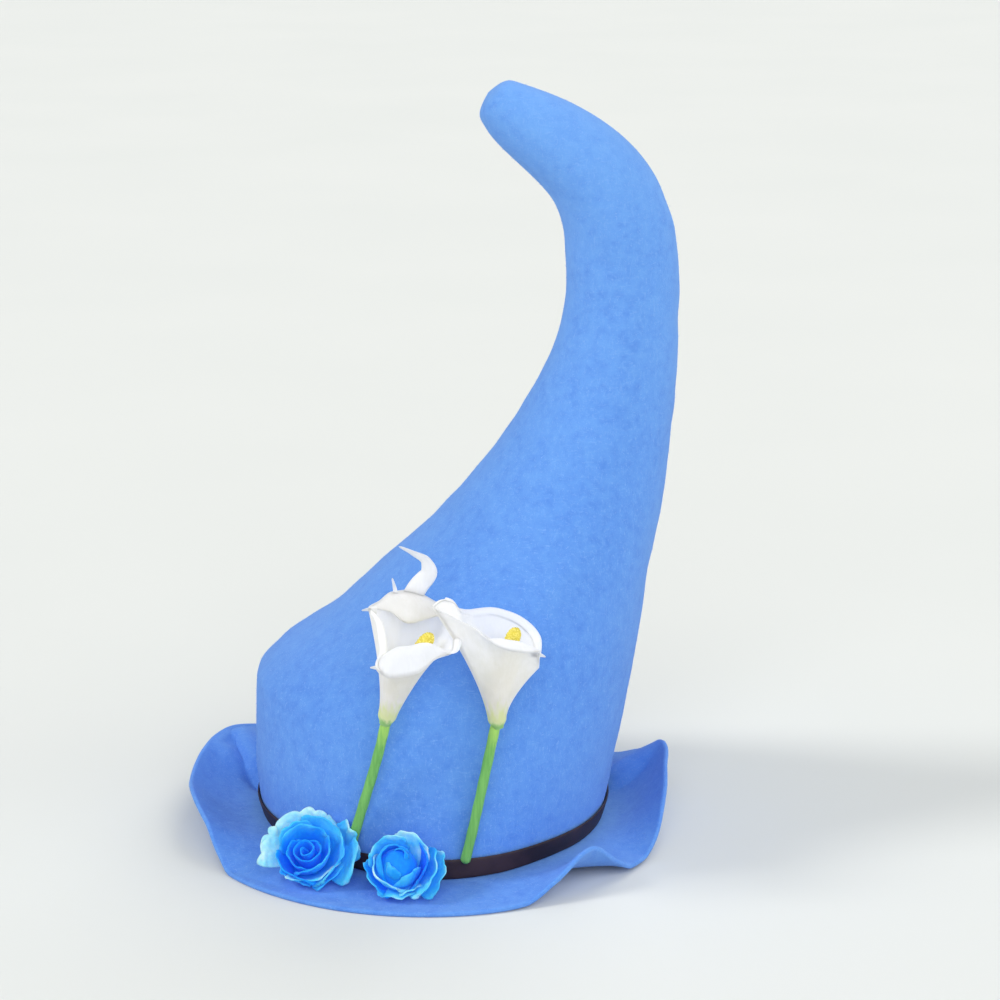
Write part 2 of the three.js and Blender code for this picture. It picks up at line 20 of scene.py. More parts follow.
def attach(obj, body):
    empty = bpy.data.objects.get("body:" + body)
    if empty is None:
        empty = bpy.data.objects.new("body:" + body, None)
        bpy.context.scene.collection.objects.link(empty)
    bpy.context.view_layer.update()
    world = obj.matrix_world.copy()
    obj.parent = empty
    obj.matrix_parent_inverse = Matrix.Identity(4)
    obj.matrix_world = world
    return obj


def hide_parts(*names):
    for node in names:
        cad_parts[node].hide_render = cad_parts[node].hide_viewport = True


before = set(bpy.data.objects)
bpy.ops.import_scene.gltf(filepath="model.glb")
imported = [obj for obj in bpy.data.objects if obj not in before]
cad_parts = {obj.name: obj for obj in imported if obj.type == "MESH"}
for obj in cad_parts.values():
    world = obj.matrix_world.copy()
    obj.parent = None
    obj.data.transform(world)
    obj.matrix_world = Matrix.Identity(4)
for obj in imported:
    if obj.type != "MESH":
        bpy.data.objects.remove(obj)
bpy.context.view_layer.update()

LOG = logging.getLogger("hat")

MM = 0.001
PLAN_SHIFT = 1.25  # from the middle of the head opening to the middle of the brim's plan
FULL_TURN = 2 * math.pi
WELD = 2e-6  # metres within which points are merged

FELT = 2.5  # thickness of the felt of crown and brim
GAP = 0.3  # clearance between pieces that touch
SEAM_HEIGHT = 4.0
HEAD_HALF_WIDTH = 85.0
HEAD_HALF_DEPTH = 98.0

Array = np.ndarray
Colour = tuple[float, float, float, float]


def paint(red: float, green: float, blue: float) -> Colour:
    """Linear colour of a display colour.

    Args:
        red: from 0 to 255.
        green: from 0 to 255.
        blue: from 0 to 255.

    Returns:
        The colour as light, opaque.
    """

    def linear(part: float) -> float:
        """One part, as light."""
        share = part / 255
        return share / 12.92 if share <= 0.04045 else ((share + 0.055) / 1.055) ** 2.4

    return (linear(red), linear(green), linear(blue), 1.0)


def smooth(share: Array) -> Array:
    """Eases a share from 0 to 1 at both ends."""
    share = np.clip(share, 0, 1)
    return share * share * (3 - 2 * share)


def monotone(keys: Sequence[float], values: Sequence[float], at: Array) -> Array:
    """Reads a table between its rows, on a smooth curve that never swings past a row.

    Args:
        keys: where each row stands, rising.
        values: what each row says.
        at: where to read, between the first key and the last.

    Returns:
        The values there, in the shape of `at`.
    """
    keys, values, at = (np.asarray(x, float) for x in (keys, values, at))
    spans = np.diff(keys)
    slopes = np.diff(values) / spans
    product, total = slopes[:-1] * slopes[1:], slopes[:-1] + slopes[1:]
    inner = np.where(product > 0, 2 * product / np.where(total == 0, 1, total), 0)
    tangents = np.concatenate([slopes[:1], inner, slopes[-1:]])
    i = np.clip(np.searchsorted(keys, at, side="right") - 1, 0, len(keys) - 2)
    t = (at - keys[i]) / spans[i]
    start, end = tangents[i] * spans[i], tangents[i + 1] * spans[i]
    rising = values[i] * (1 + 2 * t) * (1 - t) ** 2 + start * t * (1 - t) ** 2
    return rising + values[i + 1] * t * t * (3 - 2 * t) + end * t * t * (t - 1)


def column(rows: Sequence[NamedTuple], name: str) -> Array:
    """One named column of a table."""
    return np.array([getattr(row, name) for row in rows], float)


def unit(vectors: Array) -> Array:
    """Vectors along the last axis, at length 1."""
    length = np.linalg.norm(vectors, axis=-1, keepdims=True)
    return vectors / np.where(length < 1e-12, 1, length)


def closed(run: Array, span: float) -> Array:
    """Fullness of an edge that closes in a round over the last span of a run from 0 to 1."""
    past = smooth((run - (1 - span)) / span)
    return np.sqrt(np.maximum(1 - past**2, 0))


def around(count: int) -> Array:
    """Shares of a turn, one for each of the columns that go once round."""
    return np.arange(count) / count


def placed(name: str, data: bpy.types.ID) -> bpy.types.Object:
    """Makes an object and puts it in the scene.

    Args:
        name: of the object.
        data: its mesh, light or lens.

    Returns:
        The object, at the origin.
    """
    thing = bpy.data.objects.new(name, data)
    bpy.context.scene.collection.objects.link(thing)
    return thing


def shade_smooth(mesh: bpy.types.Mesh) -> None:
    """Shades all of a mesh's faces smooth."""
    mesh.polygons.foreach_set("use_smooth", np.ones(len(mesh.polygons), bool))


@dataclass(frozen=True)
class Ripple:
    """Soft unevenness: a few plane waves in fixed, seeded directions.

    Args:
        seed: picks the directions.
        wavelength: of the longest wave, in millimetres.
        waves: how many are added.
    """

    seed: int
    wavelength: float
    waves: int = 9

    def at(self, points: Array) -> Array:
        """Reads the unevenness.

        Args:
            points: where, in any grid.

        Returns:
            Its height at each point, mostly between -1 and 1.
        """
        draw = np.random.default_rng(self.seed)
        total = np.zeros(points.shape[:-1])
        for _ in range(self.waves):
            direction = unit(draw.normal(size=3))
            length = self.wavelength * draw.uniform(0.45, 1.0)
            total += np.sin(points @ direction * FULL_TURN / length + draw.uniform(0, FULL_TURN))
        return total / math.sqrt(self.waves)


class Draft:
    """Points, faces and marks of a piece before they become a mesh. Lengths are in millimetres."""

    def __init__(self) -> None:
        """Starts empty."""
        self.points: list[Array] = []
        self.quads: list[Array] = []
        self.marks: dict[str, list[Array]] = {}
        self.count = 0

    def grid(self, points: Array, marks: dict[str, Array] | None = None) -> Array:
        """Adds a grid of points.

        Args:
            points: rows of columns of points.
            marks: numbers that the finish reads, one for each point.

        Returns:
            The index of each point, in rows and columns.
        """
        rows, columns = points.shape[:2]
        index = np.arange(rows * columns).reshape(rows, columns) + self.count
        self.points.append(points.reshape(-1, 3))
        for name in {*self.marks, *(marks or {})}:
            known = self.marks.setdefault(name, [np.zeros(self.count)] if self.count else [])
            value = (marks or {}).get(name)
            known.append(np.broadcast_to(0.0 if value is None else value, (rows, columns)).ravel())
        self.count += rows * columns
        return index

    def skin(self, index: Array, looped: bool, turned: bool = False) -> None:
        """Lays quads over a grid, facing along columns cross rows.

        Args:
            index: the grid's points.
            looped: whether the last column joins the first.
            turned: whether the quads face the other way.
        """
        right = np.roll(index, -1, axis=1) if looped else index[:, 1:]
        left = index if looped else index[:, :-1]
        corners = [left[:-1], right[:-1], right[1:], left[1:]]
        self.quads.append(np.stack(corners[::-1] if turned else corners, axis=-1).reshape(-1, 4))

    def strip(self, first: Array, second: Array, looped: bool) -> None:
        """Lays one row of quads from a line of points to another."""
        self.skin(np.stack([first, second]), looped)

    def piece(self, name: str, material: bpy.types.Material) -> bpy.types.Object:
        """Makes the closed mesh and its object.

        Args:
            name: of the piece.
            material: its finish.

        Returns:
            The object, at the origin.
        """
        points = np.concatenate(self.points)
        mesh = bpy.data.meshes.new(name)
        points = (points + [PLAN_SHIFT, 0, 0]) * MM
        mesh.from_pydata(points.tolist(), [], np.concatenate(self.quads).tolist())
        for mark, values in self.marks.items():
            layer = mesh.attributes.new(mark, "FLOAT", "POINT")
            layer.data.foreach_set("value", np.concatenate(values).astype(np.float32))
        shape = bmesh.new()
        shape.from_mesh(mesh)
        bmesh.ops.remove_doubles(shape, verts=shape.verts, dist=WELD)
        shape.to_mesh(mesh)
        shape.free()
        shade_smooth(mesh)
        mesh.materials.append(material)
        return placed(name, mesh)


def normals(points: Array, looped: bool) -> Array:
    """Directions square to a grid of points.

    Args:
        points: rows of columns of points.
        looped: whether the last column joins the first.

    Returns:
        Directions along columns cross rows, at length 1.
    """
    if looped:
        across = np.roll(points, -1, axis=1) - np.roll(points, 1, axis=1)
    else:
        across = np.gradient(points, axis=1)
    return unit(np.cross(across, np.gradient(points, axis=0)))


def shell(
    draft: Draft,
    outside: Array,
    thickness: float,
    looped: bool,
    fullness: Array | float = 1.0,
    marks: dict[str, Array] | None = None,
) -> None:
    """Adds a closed wall behind a grid of points.

    Args:
        draft: the piece that the wall belongs to.
        outside: grid of points on its outside.
        thickness: of the wall.
        looped: whether its columns go once round.
        fullness: share of the thickness at each point, 0 where the two sides meet in a rounded edge.
        marks: numbers that the finish reads.
    """
    outward = normals(outside, looped)
    full = np.broadcast_to(fullness, outside.shape[:2])[..., None]
    face = outside - outward * thickness * (1 - full) / 2
    back = outside - outward * thickness * (1 + full) / 2
    near = draft.grid(face, {**(marks or {}), "inside": np.zeros(face.shape[:2])})
    far = draft.grid(back, {**(marks or {}), "inside": np.ones(face.shape[:2])})
    draft.skin(near, looped)
    draft.skin(far, looped, turned=True)
    draft.strip(far[0], near[0], looped)
    draft.strip(near[-1], far[-1], looped)
    if not looped:
        draft.strip(near[:, 0], far[:, 0], False)
        draft.strip(far[:, -1], near[:, -1], False)


def rod(
    draft: Draft, path: Array, radius: Array, columns: int, flatness: float = 1.0, **marks: Array
) -> None:
    """Adds a closed rod along a path.

    Args:
        draft: the piece that it belongs to.
        path: points along its middle.
        radius: at each point; its ends are closed flat.
        columns: facets round it.
        flatness: below 1, how flat its section is pressed.
        marks: numbers that the finish reads, one for each point of the path.
    """
    ahead = unit(np.gradient(path, axis=0))
    side = np.array([0.0, 1.0, 0.0])
    sides = []
    for direction in ahead:
        side = unit(side - direction * (side @ direction))
        sides.append(side)
    sides = np.array(sides)
    others = np.cross(ahead, sides)
    angle = (around(columns) * FULL_TURN)[None, :, None]
    ring = sides[:, None] * flatness * np.cos(angle) + others[:, None] * np.sin(angle)
    points = path[:, None] + ring * radius[:, None, None]
    caps = [np.broadcast_to(path[end], (1, columns, 3)) for end in (0, -1)]
    spread = {k: np.concatenate([v[:1], v, v[-1:]])[:, None] for k, v in marks.items()}
    index = draft.grid(np.concatenate([caps[0], points, caps[1]]), spread)
    draft.skin(index, True)


Operand = "Wire | float"


class Wire:
    """A number in a shader tree. Arithmetic on it adds the tree's Math nodes."""

    def __init__(self, graph: "Tree", socket: bpy.types.NodeSocket) -> None:
        """Wraps an output socket of a graph."""
        self.graph = graph
        self.socket = socket

    def __add__(self, other: Operand) -> "Wire":
        """This plus the other."""
        return self.graph.maths("ADD", self, other)

    def __radd__(self, other: Operand) -> "Wire":
        """The other plus this."""
        return self.graph.maths("ADD", other, self)

    def __sub__(self, other: Operand) -> "Wire":
        """This less the other."""
        return self.graph.maths("SUBTRACT", self, other)

    def __rsub__(self, other: Operand) -> "Wire":
        """The other less this."""
        return self.graph.maths("SUBTRACT", other, self)

    def __mul__(self, other: Operand) -> "Wire":
        """This times the other."""
        return self.graph.maths("MULTIPLY", self, other)

    def __rmul__(self, other: Operand) -> "Wire":
        """The other times this."""
        return self.graph.maths("MULTIPLY", other, self)


class Tree:
    """A tree of nodes."""

    def __init__(self, tree: bpy.types.NodeTree) -> None:
        """Takes over a tree and empties it."""
        self.tree = tree
        self.tree.nodes.clear()

    def add(self, kind: str, settings: dict[str, Any], sockets: dict[Any, Any], out: Any = 0) -> Wire:
        """Adds a node.

        Args:
            kind: its type.
            settings: its properties, and under "stops" a ramp's (position, colour) pairs.
            sockets: a value or a Wire for each socket, by name or number.
            out: the output to return.

        Returns:
            That output.
        """
        node = self.tree.nodes.new(kind)
        for name, value in settings.items():
            if name == "stops":
                self._set_stops(node.color_ramp, value)
            else:
                setattr(node, name, value)
        for name, value in sockets.items():
            if isinstance(value, Wire):
                self.tree.links.new(value.socket, node.inputs[name])
            else:
                node.inputs[name].default_value = value
        return Wire(self, node.outputs[out] if len(node.outputs) else None)

    @staticmethod
    def _set_stops(ramp: bpy.types.ColorRamp, stops: Sequence[tuple[float, Colour]]) -> None:
        """Gives a ramp its stops.

        Args:
            ramp: the ramp.
            stops: position and colour of each.
        """
        while len(ramp.elements) < len(stops):
            ramp.elements.new(0.5)
        for element, (position, colour) in zip(ramp.elements, stops):
            element.position, element.color = position, colour

    def maths(self, operation: str, first: Operand, second: Operand) -> Wire:
        """One Math node."""
        return self.add("ShaderNodeMath", {"operation": operation}, {0: first, 1: second})


class Graph(Tree):
    """The shader tree of one material."""

    def __init__(self, name: str) -> None:
        """Starts a material with an empty tree.

        Args:
            name: of the material.
        """
        self.material = bpy.data.materials.new(name)
        self.material.use_nodes = True
        super().__init__(self.material.node_tree)

    def clamped(self, value: Wire) -> Wire:
        """A value held between 0 and 1."""
        return self.add("ShaderNodeClamp", {}, {"Value": value})

    def band(self, value: Wire, start: float, end: float, low: float = 0.0, high: float = 1.0) -> Wire:
        """Runs smoothly from low to high while a value runs from start to end."""
        sockets = {"Value": value, "From Min": start, "From Max": end, "To Min": low, "To Max": high}
        return self.add("ShaderNodeMapRange", {"interpolation_type": "SMOOTHSTEP"}, sockets)

    def where(self) -> Wire:
        """The point in the object's own frame, in metres."""
        return self.add("ShaderNodeTexCoord", {}, {}, "Object")

    def stretched(self, point: Wire, scale: Sequence[float], turn: Sequence[float] = (0, 0, 0)) -> Wire:
        """A point in a frame that is turned and stretched."""
        return self.add("ShaderNodeMapping", {}, {"Vector": point, "Rotation": turn, "Scale": scale})

    def mark(self, name: str) -> Wire:
        """A number that the mesh carries at each point."""
        return self.add("ShaderNodeAttribute", {"attribute_name": name}, {}, "Fac")

    def noise(
        self, point: Wire, scale: float, detail: float = 3.0, roughness: float = 0.5, twist: float = 0.0
    ) -> Wire:
        """Noise from 0 to 1, with scale features to the metre, pulled out of shape by a twist."""
        sockets = {"Vector": point, "Scale": scale, "Detail": detail, "Roughness": roughness}
        return self.add("ShaderNodeTexNoise", {}, {**sockets, "Distortion": twist}, "Fac")

    def mix(self, share: Operand, first: Any, second: Any) -> Wire:
        """Mixes two colours; the numbers are the Mix node's own for its colour sockets."""
        return self.add("ShaderNodeMix", {"data_type": "RGBA"}, {0: share, 6: first, 7: second}, 2)

    def bump(self, height: Wire, depth: float, strength: float = 1.0) -> Wire:
        """Surface direction of a relief that is depth metres deep."""
        return self.add("ShaderNodeBump", {}, {"Height": height, "Distance": depth, "Strength": strength})

    def finish(self, **sockets: Any) -> bpy.types.Material:
        """Ends the tree in a Principled shader.

        Args:
            sockets: a value or a Wire for each socket, spaces in its name written as underscores.

        Returns:
            The material.
        """
        named = {name.replace("_", " "): value for name, value in sockets.items()}
        surface = self.add("ShaderNodeBsdfPrincipled", {}, named, "BSDF")
        self.add("ShaderNodeOutputMaterial", {}, {"Surface": surface})
        return self.material


class Strewing(Tree):
    """Geometry nodes that strew one small shape over a piece."""

    def __init__(self, name: str, *sizes: str) -> None:
        """Starts a tree.

        Args:
            name: of the tree.
            sizes: names of its numbers, beside the seed and the material.
        """
        super().__init__(bpy.data.node_groups.new(name, "GeometryNodeTree"))
        numbers = dict.fromkeys(sizes, "Float")
        kinds = {"Geometry": "Geometry", **numbers, "Seed": "Int", "Material": "Material"}
        for title, kind in kinds.items():
            self.tree.interface.new_socket(title, in_out="INPUT", socket_type=f"NodeSocket{kind}")
        self.tree.interface.new_socket("Geometry", in_out="OUTPUT", socket_type="NodeSocketGeometry")
        self.entry = self.tree.nodes.new("NodeGroupInput")

    def given(self, name: str) -> Wire:
        """One of the tree's named inputs."""
        return Wire(self, self.entry.outputs[name])

    def strew(self, points: Wire, shape: Wire, turn: Wire, low: float, high: float) -> Wire:
        """Puts a shape on points, each of its own size.

        Args:
            points: where the shapes go.
            shape: what goes there.
            turn: the rotation of each.
            low: the least scale.
            high: the largest scale.

        Returns:
            The instances.
        """
        sockets = {0: (low, low, low), 1: (high, high, high), "Seed": self.given("Seed")}
        scale = self.add("FunctionNodeRandomValue", {"data_type": "FLOAT_VECTOR"}, sockets)
        sockets = {"Points": points, "Instance": shape, "Rotation": turn, "Scale": scale}
        return self.add("GeometryNodeInstanceOnPoints", {}, sockets, "Instances")

    def end(self, *parts: Wire) -> "Strewing":
        """Joins the parts, realizes them and gives them their material.

        Args:
            parts: instances or meshes.

        Returns:
            This tree, which is now whole.
        """
        joined = self.add("GeometryNodeJoinGeometry", {}, {})
        for part in parts:
            self.tree.links.new(part.socket, joined.socket.node.inputs[0])
        real = self.add("GeometryNodeRealizeInstances", {}, {"Geometry": joined})
        sockets = {"Geometry": real, "Material": self.given("Material")}
        dressed = self.add("GeometryNodeSetMaterial", {}, sockets)
        self.add("NodeGroupOutput", {}, {"Geometry": dressed})
        return self

    def grow(self, carrier: bpy.types.Object, **values: Any) -> bpy.types.Mesh:
        """Runs the tree on a piece.

        Args:
            carrier: the piece; it is left as it was.
            values: one for each named input.

        Returns:
            A plain mesh of what grows.
        """
        modifier = carrier.modifiers.new("strewing", "NODES")
        modifier.node_group = self.tree
        for item in self.tree.interface.items_tree:
            if item.in_out == "INPUT" and item.name in values:
                modifier[item.identifier] = values[item.name]
        evaluated = carrier.evaluated_get(bpy.context.evaluated_depsgraph_get())
        mesh = bpy.data.meshes.new_from_object(evaluated)
        carrier.modifiers.remove(modifier)
        return mesh


@dataclass(frozen=True)
class Nap:
    """Loose wool hairs that lie low on the felt. Sizes are in millimetres and degrees."""

    density: float = 110000.0  # to the square metre
    length: float = 1.6
    thickness: float = 0.045  # radius at the root
    lean: tuple[float, float] = (48.0, 86.0)  # from upright, least and most
    least: float = 0.5  # share of a hair's size
    most: float = 1.3
    sides: int = 3
    seed: int = 7

    def tree(self) -> Strewing:
        """Builds the tree, which grows hairs where the mark "nap" is above 0."""
        tree = Strewing("wool_nap", "Density", "Length", "Thickness", "Lean low", "Lean high")
        kind = "GeometryNodeInputNamedAttribute"
        mark = tree.add(kind, {"data_type": "FLOAT"}, {"Name": "nap"}, "Attribute")
        sockets = {"Mesh": tree.given("Geometry"), "Density": mark * tree.given("Density")}
        sockets["Seed"] = tree.given("Seed")
        points = tree.add("GeometryNodeDistributePointsOnFaces", {}, sockets, "Points")
        upright = Wire(tree, points.socket.node.outputs["Rotation"])
        low = tree.add("ShaderNodeCombineXYZ", {}, {"X": tree.given("Lean low")})
        high = tree.add("ShaderNodeCombineXYZ", {}, {"X": tree.given("Lean high"), "Z": FULL_TURN})
        sockets = {0: low, 1: high, "Seed": tree.given("Seed")}
        lean = tree.add("FunctionNodeRandomValue", {"data_type": "FLOAT_VECTOR"}, sockets)
        lean = tree.add("FunctionNodeEulerToRotation", {}, {"Euler": lean})
        sockets = {"Rotation": upright, "Rotate By": lean}
        turn = tree.add("FunctionNodeRotateRotation", {"rotation_space": "LOCAL"}, sockets)
        sockets = {"Vertices": self.sides, "Radius Top": 0.0, "Radius Bottom": tree.given("Thickness")}
        hair = tree.add("GeometryNodeMeshCone", {}, {**sockets, "Depth": tree.given("Length")}, "Mesh")
        return tree.end(tree.strew(points, hair, turn, self.least, self.most))

    def grow(self, tree: Strewing, felt: bpy.types.Object, wool: bpy.types.Material) -> bpy.types.Object:
        """Makes the hairs on one piece of felt.

        Args:
            tree: the nodes that grow them.
            felt: the piece that carries them.
            wool: their finish.

        Returns:
            The hairs, as one piece.
        """
        low, high = (math.radians(lean) for lean in self.lean)
        sizes = {"Density": self.density, "Length": self.length * MM, "Thickness": self.thickness * MM}
        leans = {"Lean low": low, "Lean high": high}
        mesh = tree.grow(felt, **sizes, **leans, Seed=self.seed, Material=wool)
        places = np.empty(len(mesh.vertices) * 3)
        mesh.vertices.foreach_get("co", places)
        places[2::3] = np.maximum(places[2::3], 0)  # the hat's weight presses the lowest hairs flat
        mesh.vertices.foreach_set("co", places)
        mesh.name = f"{felt.name}_nap"
        return placed(mesh.name, mesh)


@dataclass(frozen=True)
class Grains:
    """The small round grains that cover a spadix. Sizes are in millimetres."""

    radius: float = 0.42
    spacing: float = 0.72
    crowded: float = 4e6  # grains to the square metre before the spacing thins them
    least: float = 0.75  # share of a grain's size
    most: float = 1.1
    seed: int = 3

    def tree(self) -> Strewing:
        """Builds the tree, which covers a piece with evenly spaced grains."""
        tree = Strewing("spadix_grains", "Radius", "Spacing")
        sockets = {"Mesh": tree.given("Geometry"), "Distance Min": tree.given("Spacing")}
        sockets |= {"Density Max": self.crowded, "Seed": tree.given("Seed")}
        kind = "GeometryNodeDistributePointsOnFaces"
        points = tree.add(kind, {"distribute_method": "POISSON"}, sockets, "Points")
        turn = Wire(tree, points.socket.node.outputs["Rotation"])
        sockets = {"Radius": tree.given("Radius"), "Subdivisions": 1}
        grain = tree.add("GeometryNodeMeshIcoSphere", {}, sockets, "Mesh")
        return tree.end(tree.given("Geometry"), tree.strew(points, grain, turn, self.least, self.most))

    def cover(self, tree: Strewing, spadix: bpy.types.Object) -> bpy.types.Object:
        """Covers one spadix.

        Args:
            tree: the nodes that cover it.
            spadix: the bare piece.

        Returns:
            The same piece, with its grains.
        """
        sizes = {"Radius": self.radius * MM, "Spacing": self.spacing * MM}
        mesh = tree.grow(spadix, **sizes, Seed=self.seed, Material=spadix.data.materials[0])
        mesh.name = spadix.name
        shade_smooth(mesh)
        spadix.data = mesh
        return spadix


@dataclass(frozen=True)
class FeltFinish:
    """Wool felt: mottled blue, matt, with a nap of short crossed fibres; painted shade darkens it towards the
    foot and painted light brightens it towards the tip.
    """

    deep: Colour = paint(60, 110, 208)
    middle: Colour = paint(80, 136, 226)
    light: Colour = paint(113, 168, 238)
    fibre: Colour = paint(142, 186, 244)
    # Heights in metres: painted shade is fullest at the foot height, painted light at the tip height.
    painted_light_top_height: float = 0.36  # metres
    painted_shade_foot_height: float = 0.02
    fibres: float = 1300.0  # to the metre
    warp_turn: tuple[float, float, float] = (0.3, 0.7, 0.5)
    weft_turn: tuple[float, float, float] = (0.4, -0.6, 0.2)

    def material(self) -> bpy.types.Material:
        """Builds the material."""
        graph = Graph("wool_felt")
        point = graph.where()
        height = graph.add("ShaderNodeSeparateXYZ", {}, {"Vector": point}, "Z")
        # Painted light and shade: share from the foot to the tip.
        climb = graph.band(height, self.painted_shade_foot_height, self.painted_light_top_height)
        cloud = graph.noise(point, 16, 3)
        mottle = graph.noise(point, 190, 4, 0.6)
        warp = graph.noise(graph.stretched(point, (1, 1, 0.25), self.warp_turn), self.fibres, 4, 0.6, 1.2)
        weft = graph.noise(graph.stretched(point, (0.25, 1, 1), self.weft_turn), self.fibres, 4, 0.6, 1.2)
        # Mix share: painted light and shade by height, on top of the felt's random cloud and mottle.
        shade = graph.clamped(0.02 + 0.48 * climb + 0.5 * cloud + 0.95 * (mottle - 0.5))
        base = graph.mix(shade, self.middle, self.light)
        dark = graph.band(mottle * 0.6 + cloud * 0.4, 0.5, 0.26, 0.0, 0.22)
        base = graph.mix(dark, base, self.deep)
        along, across = (graph.band(strands, 0.52, 0.72, 0.0, 0.34) for strands in (warp, weft))
        base = graph.mix(graph.clamped(along + across), base, self.fibre)
        relief = warp * 0.5 + weft * 0.5 + mottle * 0.9
        return graph.finish(
            Base_Color=base,
            Roughness=graph.band(mottle, 0.3, 0.7, 0.86, 0.98),
            Normal=graph.bump(relief, 0.0006, 0.55),
            Sheen_Weight=0.2,
            Sheen_Roughness=0.6,
            Sheen_Tint=paint(190, 215, 255),
            Specular_IOR_Level=0.2,
        )


@dataclass(frozen=True)
class NapFinish:
    """Loose hairs: the same wool, paler where they catch the light."""

    wool: Colour = paint(98, 154, 232)
    pale: Colour = paint(168, 204, 250)

    def material(self) -> bpy.types.Material:
        """Builds the material."""
        graph = Graph("wool_nap")
        share = graph.noise(graph.where(), 420, 2)
        return graph.finish(
            Base_Color=graph.mix(graph.band(share, 0.35, 0.65), self.wool, self.pale),
            Roughness=0.95,
            Specular_IOR_Level=0.15,
        )


@dataclass(frozen=True)
class BandFinish:
    """Smooth, near black strap with a fine grain and slightly paler, mottled long edges."""

    dark: Colour = paint(30, 20, 27)
    brown: Colour = paint(58, 42, 50)
    pale_edge: Colour = paint(62, 52, 60)

    def material(self) -> bpy.types.Material:
        """Builds the material."""
        graph = Graph("dark_band")
        point = graph.where()
        cloud = graph.noise(point, 60, 3)
        cells = graph.add("ShaderNodeTexVoronoi", {}, {"Vector": point, "Scale": 1900.0}, "Distance")
        edge = graph.mark("edge")
        base = graph.mix(graph.band(cloud, 0.3, 0.7), self.dark, self.brown)
        # Paler in patches towards the long edges.
        pale_edge_share = graph.clamped(edge * graph.band(graph.noise(point, 340, 3), 0.4, 0.7) * 0.7)
        base = graph.mix(pale_edge_share, base, self.pale_edge)
        return graph.finish(
            Base_Color=base,
            Roughness=graph.band(cloud, 0.3, 0.7, 0.5, 0.66),
            Normal=graph.bump(cells, 0.00012, 0.5),
            Specular_IOR_Level=0.35,
        )


@dataclass(frozen=True)
class RoseFinish:
    """Thin azure cloth: deep at each petal's foot, paler to its edge, with a fine weave, soft creases and a
    faint painted glow of its own colour.
    """

    deep: Colour = paint(4, 108, 240)
    azure: Colour = paint(18, 148, 246)
    sky: Colour = paint(78, 192, 246)
    pale: Colour = paint(186, 238, 244)
    threads: float = 2600.0  # to the metre

    def material(self) -> bpy.types.Material:
        """Builds the material."""
        graph = Graph("azure_cloth")
        point = graph.where()
        cloud = graph.noise(point, 260, 3, 0.6)
        tone = graph.clamped(graph.mark("tone") + (cloud - 0.5) * 0.3)
        stops = ((0.0, self.deep), (0.34, self.azure), (0.68, self.sky), (1.0, self.pale))
        base = graph.add("ShaderNodeValToRGB", {"stops": stops}, {"Fac": tone}, "Color")
        warp = graph.noise(graph.stretched(point, (1, 1, 0.3)), self.threads, 2)
        weave = warp + graph.noise(graph.stretched(point, (0.3, 1, 1)), self.threads, 2)
        crease = graph.noise(graph.stretched(point, (1, 1, 0.5)), 420, 3, 0.6)
        return graph.finish(
            Base_Color=base,
            Roughness=graph.band(weave, 0.6, 1.4, 0.62, 0.8),
            Normal=graph.bump(weave * 0.25 + crease, 0.0007, 0.6),
            Sheen_Weight=0.08,
            Subsurface_Weight=0.5,
            Subsurface_Radius=(0.001, 0.003, 0.005),
            Subsurface_Scale=1.0,
            Specular_IOR_Level=0.2,
            # Painted glow: the cloth gives off a little light of its own colour, which lifts it where it lies
            # in shade.
            Emission_Color=base,
            Emission_Strength=0.09,
        )


@dataclass(frozen=True)
class BlossomFinish:
    """Soft white petal: faintly veined and mottled, yellowish in the throat and green at the seat, with a
    painted glow that is stronger on its inner face.
    """

    white: Colour = paint(244, 244, 246)
    shade: Colour = paint(236, 236, 235)
    throat: Colour = paint(246, 242, 206)
    leaf: Colour = paint(214, 232, 140)
    green: Colour = paint(126, 196, 98)
    # Painted glow in place of the light that the thin petal passes on, stronger on the inner face to lift the
    # throat's shade.
    painted_glow: Colour = (0.02, 0.02, 0.02, 1.0)  # light that the thin petal passes on
    painted_inner_glow: Colour = (0.11, 0.11, 0.11, 1.0)

    def material(self) -> bpy.types.Material:
        """Builds the material."""
        graph = Graph("calla_petal")
        point = graph.where()
        cloud = graph.noise(point, 110, 3)
        vein = graph.noise(graph.stretched(point, (1, 1, 0.12), (0.1, 0.25, 0)), 900, 3)
        climb = graph.mark("climb")
        base = graph.mix(graph.band(cloud * 0.7 + vein * 0.3, 0.35, 0.7), self.shade, self.white)
        throat = graph.mark("inside") * graph.band(climb, 0.55, 0.2, 0.0, 0.7)
        base = graph.mix(throat, base, self.throat)
        ragged = climb + (graph.noise(graph.stretched(point, (1, 1, 0.25)), 420, 3) - 0.5) * 0.16
        base = graph.mix(graph.band(ragged, 0.27, 0.14, 0.0, 0.85), base, self.leaf)
        base = graph.mix(graph.band(ragged, 0.13, 0.04, 0.0, 0.9), base, self.green)
        return graph.finish(
            Base_Color=base,
            Roughness=graph.band(vein, 0.3, 0.7, 0.5, 0.62),
            Normal=graph.bump(vein + cloud * 0.4, 0.0003, 0.4),
            Subsurface_Weight=0.75,
            Subsurface_Radius=(0.009, 0.009, 0.0085),
            Subsurface_Scale=1.0,
            Emission_Color=graph.mix(graph.mark("inside"), self.painted_glow, self.painted_inner_glow),
            Emission_Strength=1.0,
            Specular_IOR_Level=0.35,
        )


